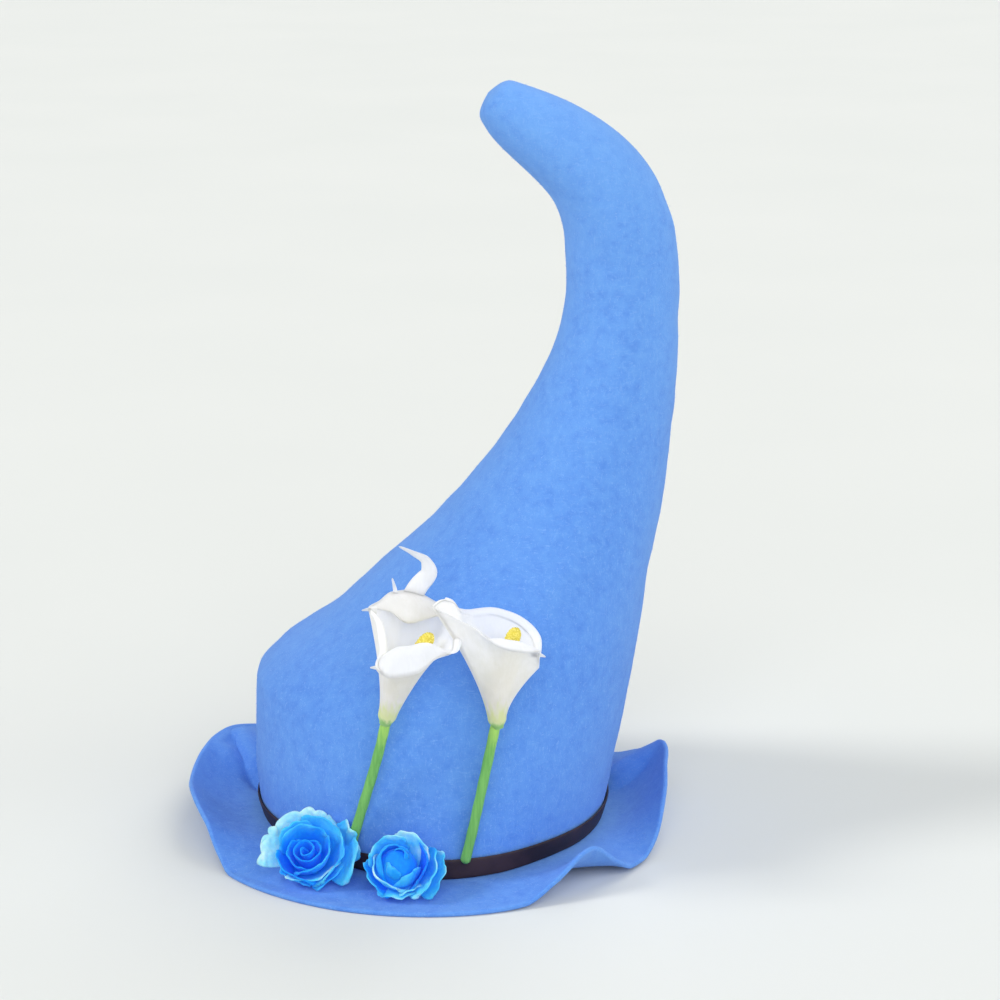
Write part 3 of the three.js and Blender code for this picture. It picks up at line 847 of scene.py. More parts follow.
@dataclass(frozen=True)
class StemFinish:
    """Green coated stem: lengthwise streaks, yellower where it meets the blossom."""

    dark: Colour = paint(104, 170, 88)
    green: Colour = paint(124, 190, 102)
    fresh: Colour = paint(176, 220, 108)

    def material(self) -> bpy.types.Material:
        """Builds the material."""
        graph = Graph("green_stem")
        point = graph.where()
        streak = graph.noise(graph.stretched(point, (1, 1, 0.05), (0, -0.25, 0)), 700, 3, 0.6)
        speck = graph.noise(point, 900, 3, 0.6)
        climb = graph.mark("climb")
        base = graph.mix(graph.band(streak, 0.3, 0.7), self.dark, self.green)
        base = graph.mix(graph.band(climb + (streak - 0.5) * 0.3, 0.72, 1.0, 0.0, 0.8), base, self.fresh)
        return graph.finish(
            Base_Color=base,
            Roughness=graph.band(speck, 0.3, 0.7, 0.42, 0.6),
            Normal=graph.bump(streak + speck * 0.5, 0.00015, 0.4),
            Specular_IOR_Level=0.3,
        )


@dataclass(frozen=True)
class SpadixFinish:
    """Grainy yellow: golden grains, paler on their tops as painted light and darker in the hollows between
    them as painted shade, with a faint painted glow.
    """

    # The hollow colour is painted shade; the light colour is painted light on the grains' tops.
    hollow: Colour = paint(206, 190, 80)
    yellow: Colour = paint(238, 222, 96)
    light: Colour = paint(250, 240, 150)

    def material(self) -> bpy.types.Material:
        """Builds the material."""
        graph = Graph("spadix_grain")
        point = graph.where()
        cells = graph.add("ShaderNodeTexVoronoi", {}, {"Vector": point, "Scale": 1100.0}, "Distance")
        cloud = graph.noise(point, 240, 3)
        # Painted light and shade: paler in the middle of each cell, darker towards its edges, as lit tops and
        # shaded hollows.
        base = graph.mix(graph.band(cells, 0.2, 0.65), self.light, self.hollow)
        base = graph.mix(graph.band(cloud, 0.3, 0.7, 0.2, 0.7), base, self.yellow)
        return graph.finish(
            Base_Color=base,
            Roughness=graph.band(cloud, 0.3, 0.7, 0.7, 0.9),
            Normal=graph.bump(1 - cells, 0.0002, 0.4),
            Specular_IOR_Level=0.2,
            # Painted glow of the spadix's own colour.
            Emission_Color=base,
            Emission_Strength=0.08,
        )


@dataclass(frozen=True)
class FloorFinish:
    """Plain pale floor with the faintest cloud."""

    pale: Colour = paint(228, 230, 227)
    soft: Colour = paint(223, 226, 223)

    def material(self) -> bpy.types.Material:
        """Builds the material."""
        graph = Graph("pale_floor")
        cloud = graph.noise(graph.where(), 3, 2)
        base = graph.mix(cloud, self.soft, self.pale)
        return graph.finish(Base_Color=base, Roughness=0.85, Specular_IOR_Level=0.2)


class Side(Enum):
    """Which of a pair, as seen from the front."""

    LEFT = "left"
    RIGHT = "right"


class Section(NamedTuple):
    """One section of the crown: the left and right edge of the felt, and half its depth."""

    left_x: float
    left_z: float
    right_x: float
    right_z: float
    depth: float


class Fold(NamedTuple):
    """The brim at one azimuth: what its edge stands out past the plain oval, the height of its underside at
    the edge, the lift of the crown's foot, and how late the brim turns up."""

    azimuth: float
    spare: float
    rise: float
    seam: float
    curl: float


class RimPoint(NamedTuple):
    """A point of a blossom's rim, how far the edge rolls over to the front there, how far the rib below it
    swells, and the radius at which the edge curls outwards."""

    x: float
    y: float
    z: float
    roll: float
    belly: float
    curl: float = 0.0


class Knot(NamedTuple):
    """A point of a path, and the half width there where the piece tapers by it."""

    x: float
    y: float
    z: float
    width: float = 0.0


class Petal(NamedTuple):
    """One rose petal: its place round the heart, half its spread, radius at foot and rim, height, how far its
    lip rolls out, how far it winds outwards over its half spread, depth and number of its edge's waves, and
    the tone of its foot and edge."""

    azimuth: float
    spread: float
    foot: float
    rim: float
    height: float
    lip: float
    winding: float
    frill: float
    waves: int
    foot_tone: float
    edge_tone: float


class Crumple(NamedTuple):
    """One size of unevenness in the roses' cloth: the first petal's seed, its wavelength and its depth."""

    seed: int
    wavelength: float
    depth: float

    def at(self, points: Array, petal: int) -> Array:
        """Height of the unevenness at points of one petal, given by its number."""
        return self.depth * Ripple(self.seed + petal, self.wavelength).at(points)


BRIM_FOLDS = (
    Fold(-178, 2, 20, 2.2, 2.6),
    Fold(-167, 2, 23, 3, 2.4),
    Fold(-154, 1.5, 18, 4, 2.2),
    Fold(-147, 1.5, 7, 4.3, 2),
    Fold(-140, 2, -1, 4.4, 2),
    Fold(-118, 1, -3, 3, 2),
    Fold(-90, 0, -1.5, 0.3, 2),
    Fold(-68, 0, 0.8, 0.6, 2),
    Fold(-60, 0, 9.5, 1.2, 2),
    Fold(-50, 0, 21.5, 1.8, 2.6),
    Fold(-42, 0, 9, 1.7, 3.2),
    Fold(-36, 0, 1.8, 1.3, 2.6),
    Fold(-31, 0, 1.6, 1, 2),
    Fold(-26, 1, 7, 0.8, 2),
    Fold(-14, -1, 22, 0.3, 2.2),
    Fold(-3, -2.5, 27.5, 0, 2.4),
    Fold(9, 0, 29.5, 0, 2.2),
    Fold(13, 0, 27, 0, 1),
    Fold(17, 0, 22, 0, 0.6),
    Fold(28, 0, 9, 0, 0.7),
    Fold(42, 0, -1.5, 0, 1.6),
    Fold(90, 0, -1.5, 0, 2),
    Fold(118, 0, -1.5, 0, 2),
    Fold(141, 1, 16, 0.2, 1),
    Fold(155, 2, 23, 0.6, 0.55),
    Fold(161, 2, 23.4, 0.8, 0.6),
    Fold(168, 2, 23, 1.2, 1.9),
    Fold(174, 2, 21.5, 1.6, 2.5),
)

CROWN_SECTIONS = (
    Section(-85, 4, 85, 4, 98),
    Section(-88.3, 18, 89, 18, 99),
    Section(-89.8, 38, 93, 40, 98),
    Section(-89.5, 60, 97.5, 62, 96),
    Section(-89, 76, 101, 84, 93),
    Section(-81, 87, 104, 104, 89),
    Section(-57, 104, 107.5, 126, 79),
    Section(-31, 127, 111, 145, 68),
    Section(-1, 155, 114.5, 165, 55),
    Section(27, 188, 117.5, 190, 43),
    Section(47, 218, 120, 219, 35),
    Section(60, 244, 121.5, 248, 30),
    Section(65.5, 272, 121.5, 273, 27),
    Section(65, 295, 119, 299, 26),
    Section(59.5, 314, 111, 324, 25),
    Section(47, 328, 97, 343.5, 24),
    Section(34.5, 339, 77, 358, 21),
    Section(29, 345.5, 57, 367, 18),
    Section(26, 351, 43, 371, 14),
)


def round_table(rows: Sequence[Fold], name: str, azimuth: Array) -> Array:
    """Reads a table that goes once round.

    Args:
        rows: the table, by rising azimuth.
        name: the column to read.
        azimuth: where to read, in degrees.

    Returns:
        The values there.
    """
    keys = np.concatenate([column(rows, "azimuth") + lap for lap in (-360, 0, 360)])
    wrapped = (np.asarray(azimuth, float) + 180) % 360 - 180
    return monotone(keys, np.tile(column(rows, name), 3), wrapped)


def seam_lift(azimuth: Array) -> Array:
    """How far the crown's foot is lifted above the usual height of the seam."""
    return round_table(BRIM_FOLDS, "seam", azimuth)


@dataclass
class Crown:
    """The hollow felt cone, with its bent tip."""

    columns: int = 224
    rows: int = 190
    inner_rows: int = 60
    end: float = 8.0  # how far the rounded end stands past the last section
    end_share: float = 4 / 22  # of the rows
    fullness: float = 0.85  # below 1, the end is blunter than an oval
    foot_rows: float = 2.0  # sections over which the foot's lift fades
    unevenness: float = 0.5
    swells: tuple[Ripple, Ripple] = (Ripple(11, 90), Ripple(12, 30))
    calm_foot: float = 0.08  # share of the climb without unevenness, at the foot and at the tip
    calm_tip: float = 0.05
    bare_foot: float = 0.04  # share of the climb over which the nap starts
    soft_from: float = 0.62
    soft_over: float = 0.1
    soft_passes: int = 60

    def face(self, turns: Array, climbs: Array, inset: float = 0.0) -> Array:
        """Grid of points on the crown, moved inwards by an inset.

        Args:
            turns: from 0 to 1 round from +X towards +Y, one for each column.
            climbs: from 0 at the seam to 1 at the tip, one for each row.
            inset: how far inside the felt's face.

        Returns:
            Rows of columns of points.
        """
        last = len(CROWN_SECTIONS) - 1
        body = np.minimum(climbs / (1 - self.end_share), 1) * last
        keys = range(last + 1)
        read = {name: monotone(keys, column(CROWN_SECTIONS, name), body) for name in Section._fields}
        left = np.stack([read["left_x"], 0 * body, read["left_z"]], axis=-1)
        right = np.stack([read["right_x"], 0 * body, read["right_z"]], axis=-1)
        middle, across = (left + right) / 2, (right - left) / 2
        half = np.linalg.norm(across, axis=-1)
        across = unit(across)
        up = np.stack([-across[:, 2], 0 * body, across[:, 0]], axis=-1)
        past = np.maximum((climbs - (1 - self.end_share)) / self.end_share, 0) * math.pi / 2
        shrink = np.maximum(np.cos(past), 0) ** self.fullness
        shrink = np.where(climbs >= 1, 0, shrink)
        width, depth = (half - inset) * shrink, (read["depth"] - inset) * shrink
        angle = np.asarray(turns) * FULL_TURN
        points = middle[:, None] + across[:, None] * (width[:, None] * np.cos(angle))[..., None]
        points = points + np.array([0.0, 1, 0]) * (depth[:, None] * np.sin(angle))[..., None]
        points = points + (up * ((self.end - inset) * np.sin(past) ** self.fullness)[:, None])[:, None]
        lift = seam_lift(np.asarray(turns) * 360)[None] * np.maximum(1 - body / self.foot_rows, 0)[:, None]
        points[..., 2] += lift
        return points

    def round_off(self, points: Array, climbs: Array) -> Array:
        """Evens out the rows near the tip, so that its end is one soft curve.

        Args:
            points: rows of columns of points.
            climbs: from 0 at the seam to 1 at the tip, one for each row.

        Returns:
            The evened points.
        """
        share = smooth((climbs - self.soft_from) / self.soft_over)[1:-1, None, None] * 0.5
        points = points.copy()
        for _ in range(self.soft_passes):
            points[1:-1] += share * ((points[:-2] + points[2:]) / 2 - points[1:-1])
        return points

    def build(self, felt: bpy.types.Material) -> bpy.types.Object:
        """Makes the crown: a hand-blocked, slightly uneven outside over a plain inside.

        Args:
            felt: its finish.

        Returns:
            The crown.
        """
        turns = around(self.columns)
        climbs = np.linspace(0, 1, self.rows + 1)
        outside = self.face(turns, climbs)
        broad, fine = (swell.at(outside) for swell in self.swells)
        calm = smooth(climbs / self.calm_foot) * smooth((1 - climbs) / self.calm_tip)
        dents = self.unevenness * (1 + (broad + 0.5 * fine) * 0.6) * calm[:, None]
        outside = self.round_off(outside - normals(outside, True) * dents[..., None], climbs)
        inside = self.face(turns, np.linspace(0, 1, self.inner_rows + 1), FELT)
        draft = Draft()
        near = draft.grid(outside, {"nap": smooth(climbs / self.bare_foot)[:, None]})
        far = draft.grid(inside)
        draft.skin(near, True)
        draft.skin(far, True, turned=True)
        draft.strip(far[0], near[0], True)
        return draft.piece("felt_crown", felt)


@dataclass
class Brim:
    """The waved felt brim, with its softly rounded cut edge."""

    half_width: float = 122.0
    half_depth: float = 134.0
    level: float = 0.06  # share of the way out that stays at the seam's height
    columns: int = 640
    rows: int = 54
    edge_rows: int = 9
    softness: float = 0.5  # how gently the underside meets the floor
    bare_seam: float = 0.1  # share of the way out over which the nap starts
    ridge_azimuth: tuple[float, float] = (167.0, 154.0)  # at the crown and where it stops turning
    ridge_reach: tuple[float, float] = (0.75, 0.88)  # shares of the way out where it stops turning and ends
    ridge_height: float = 4.2
    ridge_width: tuple[float, float] = (1.9, 9.0)  # degrees in front and behind
    hollow_depth: float = 4.2
    hollow_azimuth: float = 4.0  # degrees in front of the ridge
    hollow_width: float = 3.4  # degrees

    def crease(self, azimuth: Array, steps: Array) -> Array:
        """Height of the soft ridge at the left and of the hollow in front of it.

        Args:
            azimuth: in degrees, one for each column.
            steps: share of the way out, one for each row.

        Returns:
            The height in rows of columns, below 0 in the hollow.
        """
        inner, outer = self.ridge_azimuth
        bend, end = self.ridge_reach
        line = inner + (outer - inner) * np.clip(steps / bend, 0, 1)[:, None]
        along = (steps - self.level) / (end - self.level)
        fade = np.maximum(np.sin(np.clip(along, 0, 1) * math.pi), 0)[:, None] ** 0.5
        off = azimuth[None, :] - line
        front, behind = self.ridge_width
        ridge = self.ridge_height * np.exp(-((off / np.where(off > 0, front, behind)) ** 2))
        hollow = self.hollow_depth * np.exp(-(((off - self.hollow_azimuth) / self.hollow_width) ** 2))
        return fade * (ridge - hollow)

    def underside(self, turns: Array, steps: Array) -> Array:
        """Grid of points on the brim's underside.

        Args:
            turns: from 0 to 1 round from -X, one for each column.
            steps: share of the way out, one for each row; 0 is at the crown.

        Returns:
            Rows of columns of points.
        """
        azimuth = turns * 360 - 180
        read = {name: round_table(BRIM_FOLDS, name, azimuth) for name in ("spare", "rise", "curl")}
        share = np.maximum((steps - self.level) / (1 - self.level), 0)[:, None]
        seam = SEAM_HEIGHT - GAP - FELT + seam_lift(azimuth)
        height = seam + (read["rise"] - seam) * share ** read["curl"]
        height = height + self.crease(azimuth, steps)
        height = (height + np.sqrt(height**2 + self.softness**2)) / 2
        width = HEAD_HALF_WIDTH + (self.half_width + read["spare"] - HEAD_HALF_WIDTH) * steps[:, None]
        depth = HEAD_HALF_DEPTH + (self.half_depth + read["spare"] - HEAD_HALF_DEPTH) * steps[:, None]
        angle = np.radians(azimuth)
        return np.stack([width * np.cos(angle), depth * np.sin(angle), height], axis=-1)

    def build(self, felt: bpy.types.Material) -> bpy.types.Object:
        """Makes the brim.

        Args:
            felt: its finish.

        Returns:
            The brim.
        """
        tuck = FELT / (self.half_width - HEAD_HALF_WIDTH)  # the share that lies under the crown
        edge = tuck / 2  # the share that the cut edge's rounding takes
        run = np.linspace(0, 1, self.rows + 1)[:-1]
        bend = np.linspace(0, math.pi / 2, self.edge_rows + 1)
        steps = np.concatenate([-tuck + (1 - edge + tuck) * run, 1 - edge * np.cos(bend)])
        past = np.clip((steps - (1 - edge)) / edge, 0, 1)
        fullness = np.sqrt(np.maximum(1 - past**2, 0))[:, None]
        under = self.underside(around(self.columns), steps)
        draft = Draft()
        shell(draft, under, FELT, True, fullness, {"nap": smooth(steps / self.bare_seam)[:, None]})
        return draft.piece("felt_brim", felt)


@dataclass
class Band:
    """The narrow dark band round the crown's foot."""

    height_share: float = 0.035
    thickness: float = 1.2
    columns: int = 360
    rows: int = 14

    def build(self, crown: Crown, finish: bpy.types.Material) -> bpy.types.Object:
        """Makes the band, its long edges rounded.

        Args:
            crown: what it goes round.
            finish: the material.

        Returns:
            The band.
        """
        run = (1 - np.cos(np.linspace(0, math.pi, self.rows + 1))) / 2
        outside = crown.face(around(self.columns), run * self.height_share, -GAP - self.thickness)
        off = np.abs(2 * run - 1)[:, None]  # from 0 at the band's middle to 1 at its edges
        draft = Draft()
        shell(draft, outside, self.thickness, True, np.sqrt(np.maximum(1 - off**8, 0)), {"edge": off**6})
        return draft.piece("dark_band", finish)


@dataclass
class Lily:
    """A mini calla lily: its stem, its wrapped blossom and the spadix in the throat."""

    side: Side
    stem: tuple[Knot, ...]
    base: tuple[float, float, float]
    flare: float
    rim: tuple[RimPoint, ...]
    spadix_tip: tuple[float, float, float]
    tendrils: tuple[tuple[Knot, ...], ...] = ()
    flatness: float = 0.32
    wall: float = 1.1
    seat_radius: float = 4.4
    foot_radius: float = 2.8
    foot_drop: float = 4.5
    seat_share: float = 1 / 8
    roll_share: float = 2 / 8
    roll_rise: float = 0.8
    curl_share: float = 0.9  # of half a turn
    thin_share: float = 0.035  # of the climb, where the wall thins out to the edge
    stem_radius: float = 2.4
    knobbles: float = 0.03  # share of the stem's radius
    spadix_radius: float = 3.2
    spadix_foot: float = 0.75  # share of the spadix's radius at its foot
    spadix_end: float = 0.1  # share of the spadix that its rounded end takes
    spadix_lean: float = 22.0  # how far up the blossom's axis its foot aims
    columns: int = 132
    rows: int = 64
    tendril_end: float = 0.06  # share of a tendril that its rounded end takes
    tendril_grid: tuple[int, int] = (40, 20)  # rows along it and columns round it
    stem_grid: tuple[int, int] = (60, 28)
    spadix_grid: tuple[int, int] = (60, 36)

    def axis(self) -> Array:
        """Direction from the seat of the stem to the middle of the rim."""
        middle = np.mean([[row.x, row.y, row.z] for row in self.rim], axis=0)
        return unit(middle - np.array(self.base))

    def face(self, turns: Array, climbs: Array) -> Array:
        """Grid of points on the blossom's outside.

        Args:
            turns: from 0 to 1 round the rim's table, one for each column.
            climbs: from 0 at the foot of the seat to 1 at the rim, one for each row.

        Returns:
            Rows of columns of points.
        """
        axis, base = self.axis(), np.array(self.base)
        count = len(self.rim)
        keys = np.concatenate([around(count) + lap for lap in (-1, 0, 1)])
        read = {n: monotone(keys, np.tile(column(self.rim, n), 3), turns) for n in RimPoint._fields}
        lateral = np.stack([read["x"], read["y"], read["z"]], axis=-1) - base
        height = lateral @ axis
        lateral = lateral - height[:, None] * axis
        reach = np.linalg.norm(lateral, axis=-1)
        climbs = climbs[:, None]
        up = np.clip((climbs - self.seat_share) / (1 - self.seat_share - self.roll_share), 0, 1)
        over = np.maximum((climbs - 1 + self.roll_share) / self.roll_share, 0)
        below = 1 - np.minimum(climbs / self.seat_share, 1)
        seat = self.seat_radius - (self.seat_radius - self.foot_radius) * smooth(below)
        radius = seat + (reach - seat) * up**self.flare
        swell = 6.75 * up**2 * (1 - up)  # 1 at its highest, two thirds of the way up
        rise = height * up + swell * read["belly"] + over * self.roll_rise - self.foot_drop * below
        bend = over * math.pi / 2
        roll = np.stack([0 * bend, -np.sin(bend), np.cos(bend) - 1], axis=-1)
        roll = roll * np.maximum(read["roll"], 0)[None, :, None]
        curl = over * math.pi * self.curl_share
        radius = radius + read["curl"] * (1 - np.cos(curl))
        rise = rise + read["curl"] * np.sin(curl)
        return base + axis * rise[..., None] + unit(lateral)[None] * radius[..., None] + roll

    def blossom(self, finish: bpy.types.Material) -> bpy.types.Object:
        """Makes the wrapped petal with the tendrils that grow from its edge.

        Args:
            finish: the material.

        Returns:
            The blossom.
        """
        climbs = np.linspace(0, 1, self.rows + 1)
        outside = self.face(around(self.columns), climbs)
        climbs = climbs[:, None]
        draft = Draft()
        shell(draft, outside, self.wall, True, closed(climbs, self.thin_share), {"climb": climbs})
        rows, columns = self.tendril_grid
        run = np.linspace(0, 1, rows + 1)
        for knots in self.tendrils:
            keys = np.linspace(0, 1, len(knots))
            path = np.stack([monotone(keys, column(knots, n), run) for n in "xyz"], axis=-1)
            width = monotone(keys, column(knots, "width"), run) * closed(run, self.tendril_end)
            rod(draft, path, width, columns, self.flatness, climb=np.ones(rows + 1))
        return draft.piece(f"calla_{self.side.value}_blossom", finish)

    def make_stem(self, finish: bpy.types.Material) -> bpy.types.Object:
        """Makes the stem, which runs up to the seat of the blossom.

        Args:
            finish: the material.

        Returns:
            The stem.
        """
        rows, columns = self.stem_grid
        knots = np.array([[knot.x, knot.y, knot.z] for knot in self.stem])
        base = np.array(self.base)
        knots = np.vstack([knots, base + unit(knots[-1] - base) * GAP])
        run = np.linspace(0, 1, rows + 1)
        keys = (knots[:, 2] - knots[0, 2]) / (knots[-1, 2] - knots[0, 2])
        path = np.stack([monotone(keys, knots[:, i], run) for i in range(3)], axis=-1)
        rounding = np.sqrt(np.minimum(1, run / 0.02 + 0.4))  # at the stem's foot
        radius = self.stem_radius * (1 + self.knobbles * np.sin(run * 37)) * rounding
        draft = Draft()
        rod(draft, path, radius, columns, climb=run)
        return draft.piece(f"calla_{self.side.value}_stem", finish)

    def make_spadix(self, finish: bpy.types.Material) -> bpy.types.Object:
        """Makes the spadix: a soft finger that leans from the blossom's axis.

        Args:
            finish: the material.

        Returns:
            The spadix, still without its grains.
        """
        base, axis = np.array(self.base), self.axis()
        foot, tip = base + axis * (self.wall + GAP), np.array(self.spadix_tip)
        lean = base + axis * self.spadix_lean
        rows, columns = self.spadix_grid
        run = 1 - (1 - np.linspace(0, 1, rows + 1)) ** 2
        pulls = ((1 - run) ** 2, 2 * run * (1 - run), run**2)
        path = sum(pull[:, None] * point for pull, point in zip(pulls, (foot, lean, tip)))
        past = np.clip((run - (1 - self.spadix_end)) / self.spadix_end, 0, 1)
        radius = self.spadix_radius * np.minimum(self.spadix_foot + run / 2, 1) * np.sqrt(1 - past**2)
        draft = Draft()
        rod(draft, path, radius, columns)
        return draft.piece(f"calla_{self.side.value}_spadix", finish)


@dataclass
class Rose:
    """A cloth rose: petals wound round a heart and laid on the brim."""

    side: Side
    heart: tuple[float, float, float]
    facing: tuple[float, float, float]
    petals: tuple[Petal, ...]
    wall: float = 0.7
    columns: int = 56
    rows: int = 26
    core_radius: float = 8.0
    core_top: float = 4.0
    core_tone: float = 0.1
    core_depth: float = 5.0
    core_grid: tuple[int, int] = (24, 40)  # rows along it and columns round it
    corner: float = 0.18  # share by which a petal's upper corners are drawn in
    low_side: float = 0.6  # share by which its sides are lower than its middle
    low_end: float = 0.15  # the same, for a petal that goes all round
    whole_spread: float = 150.0  # half the spread past which it does
    deep_frill: float = 1.0  # depth past which the edge's waves are cut as lobes
    thin_side: float = 0.04  # shares over which a petal thins out to its edges
    thin_top: float = 0.05
    creases: tuple[Crumple, ...] = (Crumple(100, 14, 0.42), Crumple(200, 5, 0.2))
    ruffle: Crumple = Crumple(400, 6, 0.5)  # one more crease, where the frill is deep
    shading: Crumple = Crumple(300, 16, 0.25)

    def place(self) -> tuple[Array, Array]:
        """Turn and place of the bloom in the hat."""
        turn = Vector((0, 0, 1)).rotation_difference(Vector(self.facing).normalized())
        return np.array(turn.to_matrix()), np.array(self.heart)

    def petal(self, row: Petal) -> Array:
        """Grid of points on a petal's outside.

        Args:
            row: the petal's sizes.

        Returns:
            Rows of columns of points, in the bloom's own frame, which faces +Z.
        """
        across = np.linspace(-1, 1, self.columns + 1)[None]
        climb = np.linspace(0, 1, self.rows + 1)[:, None]
        taper = 1 - self.corner * climb**6 * np.abs(across) ** 2
        turn = np.radians(row.azimuth + row.spread * across * taper)
        waves = np.cos(across * row.waves * math.pi)
        if row.frill > self.deep_frill:  # lobes of unequal width and depth, with sharp notches
            uneven = across * row.waves * math.pi / 2 + 1.3 * np.sin(across * 3.1 + row.azimuth)
            depth = 0.8 + 0.35 * np.sin(across * 5.3 + row.azimuth)
            waves = (2 * np.abs(np.cos(uneven)) ** 0.7 - 1) * depth
        waved = row.frill * climb**3 * waves
        opening = (row.rim - row.foot) * np.sin(climb * math.pi / 2) ** 0.8
        out = row.foot + opening + row.lip * climb**5 + waved + row.winding * across
        fall = self.low_side if row.spread < self.whole_spread else self.low_end
        crest = 1 - fall * np.abs(across) ** 3
        rise = row.height * crest * climb + 0.5 * waved - 0.35 * np.maximum(row.lip, 0) * climb**8
        return np.stack([out * np.cos(turn), out * np.sin(turn), rise + 0 * turn], axis=-1)

    def build(self, ground: Callable[[Array], Array], finish: bpy.types.Material) -> bpy.types.Object:
        """Makes the rose.

        Args:
            ground: moves points clear of what the rose lies on.
            finish: the material.

        Returns:
            The rose.
        """
        turn, heart = self.place()
        draft = Draft()
        across = np.linspace(-1, 1, self.columns + 1)[None]
        climb = np.linspace(0, 1, self.rows + 1)[:, None]
        fullness = closed(np.abs(across), self.thin_side) * closed(climb, self.thin_top)
        for i, row in enumerate(self.petals):
            local = self.petal(row)
            creases = (*self.creases, self.ruffle) if row.frill > self.deep_frill else self.creases
            relief = sum(crease.at(local, i) for crease in creases) * climb**1.5
            local = local + normals(local, False) * relief[..., None]
            points = ground(local @ turn.T + heart)
            fade = climb**1.1 * (0.8 + self.shading.at(local, i))
            tone = row.foot_tone + (row.edge_tone - row.foot_tone) * fade
            shell(draft, points, self.wall, False, fullness, {"tone": tone})
        rows, columns = self.core_grid
        bow = np.linspace(-1, 1, rows + 1) * math.pi / 2
        middle, half = (self.core_top - self.core_depth) / 2, (self.core_top + self.core_depth) / 2
        path = np.stack([0 * bow, 0 * bow, middle + half * np.sin(bow)], axis=-1) @ turn.T + heart
        rod(draft, path, self.core_radius * np.cos(bow), columns, tone=self.core_tone + 0 * bow)
        return draft.piece(f"cloth_rose_{self.side.value}", finish)


LEFT_LILY = Lily(
    side=Side.LEFT,
    stem=(Knot(-38, -92.6, 15), Knot(-34, -95.2, 30), Knot(-22.5, -101, 71)),
    base=(-18.6, -103.3, 88.6),
    flare=1.4,
    rim=(
        RimPoint(13.5, -106, 128.5, 0, 3, 1.1),
        RimPoint(12, -97, 136, 2, 0, 1),
        RimPoint(4, -91, 140.5, 6.4, 0),
        RimPoint(-8, -90, 146, 13.4, 0),
        RimPoint(-16, -93, 146, 9, 0),
        RimPoint(-22, -96, 142.5, 4, 0),
        RimPoint(-27, -101, 140, 0, 0),
        RimPoint(-20.5, -107, 132, 0, 1, 1.3),
        RimPoint(-19, -114, 123, 0, 5, 1.5),
        RimPoint(-22, -121, 117.5, 0, 13, 0.8),
        RimPoint(-16, -127, 115, 0, 21),
        RimPoint(-5, -128, 117, 0, 21),
        RimPoint(5, -123, 123, 0, 14),
        RimPoint(12.5, -116, 123.5, 0, 7, 0.8),
    ),
    spadix_tip=(2.6, -110, 130.6),
    tendrils=(
        (
            Knot(-8.5, -92.5, 140, 5),
            Knot(-4, -91.5, 148, 4.6),
            Knot(1, -90, 154.5, 3.9),
            Knot(-0.5, -90.5, 160, 2.4),
            Knot(-6, -92, 164, 1.3),
            Knot(-13, -93.5, 168, 0.4),
        ),
        (Knot(-14.5, -95, 141, 1.6), Knot(-14.6, -94.6, 146, 1.1), Knot(-16, -94, 152.8, 0.35)),
        (Knot(-23, -101, 139.6, 2.2), Knot(-26.5, -101.4, 139.8, 1), Knot(-30, -102, 139.4, 0.3)),
        (Knot(-20.5, -119.5, 118, 2), Knot(-23, -120.5, 117.9, 1), Knot(-25.5, -121.5, 118.2, 0.3)),
    ),
)

RIGHT_LILY = Lily(
    side=Side.RIGHT,
    stem=(Knot(17.3, -99.8, 13.6), Knot(21, -100.8, 30), Knot(29, -102.2, 69)),
    base=(32.6, -103.2, 87.1),
    flare=1.5,
    rim=(
        RimPoint(52.3, -117, 123.5, 0, 8),
        RimPoint(52, -108, 113.5, 0, 0),
        RimPoint(50.5, -98, 122, 0, 0, 1.2),
        RimPoint(45.5, -92, 127.5, 0, 0, 1.3),
        RimPoint(38, -89, 131.3, 0, 0, 1.3),
        RimPoint(29.5, -88, 133.2, 0, 0, 1.3),
        RimPoint(22, -90, 133, 0, 0, 1.3),
        RimPoint(15.5, -97, 136.5, 0, 0, 1),
        RimPoint(11.5, -102, 143, 0, 0, 0.6),
        RimPoint(6.5, -108, 145.8, 0, 0),
        RimPoint(3, -111.5, 143.5, 0, 0),
        RimPoint(10.5, -112.5, 139.6, 0, 0),
        RimPoint(22.6, -118, 135, 0, 3),
        RimPoint(29.4, -124, 131, 0, 9),
        RimPoint(37, -127, 128.3, 0, 13),
        RimPoint(45, -125, 126.3, 0, 13),
    ),
    spadix_tip=(42, -109, 133),
    tendrils=((Knot(49, -113, 122.5, 1.8), Knot(52.5, -114, 121.8, 1), Knot(55, -114.5, 121, 0.3)),),
)

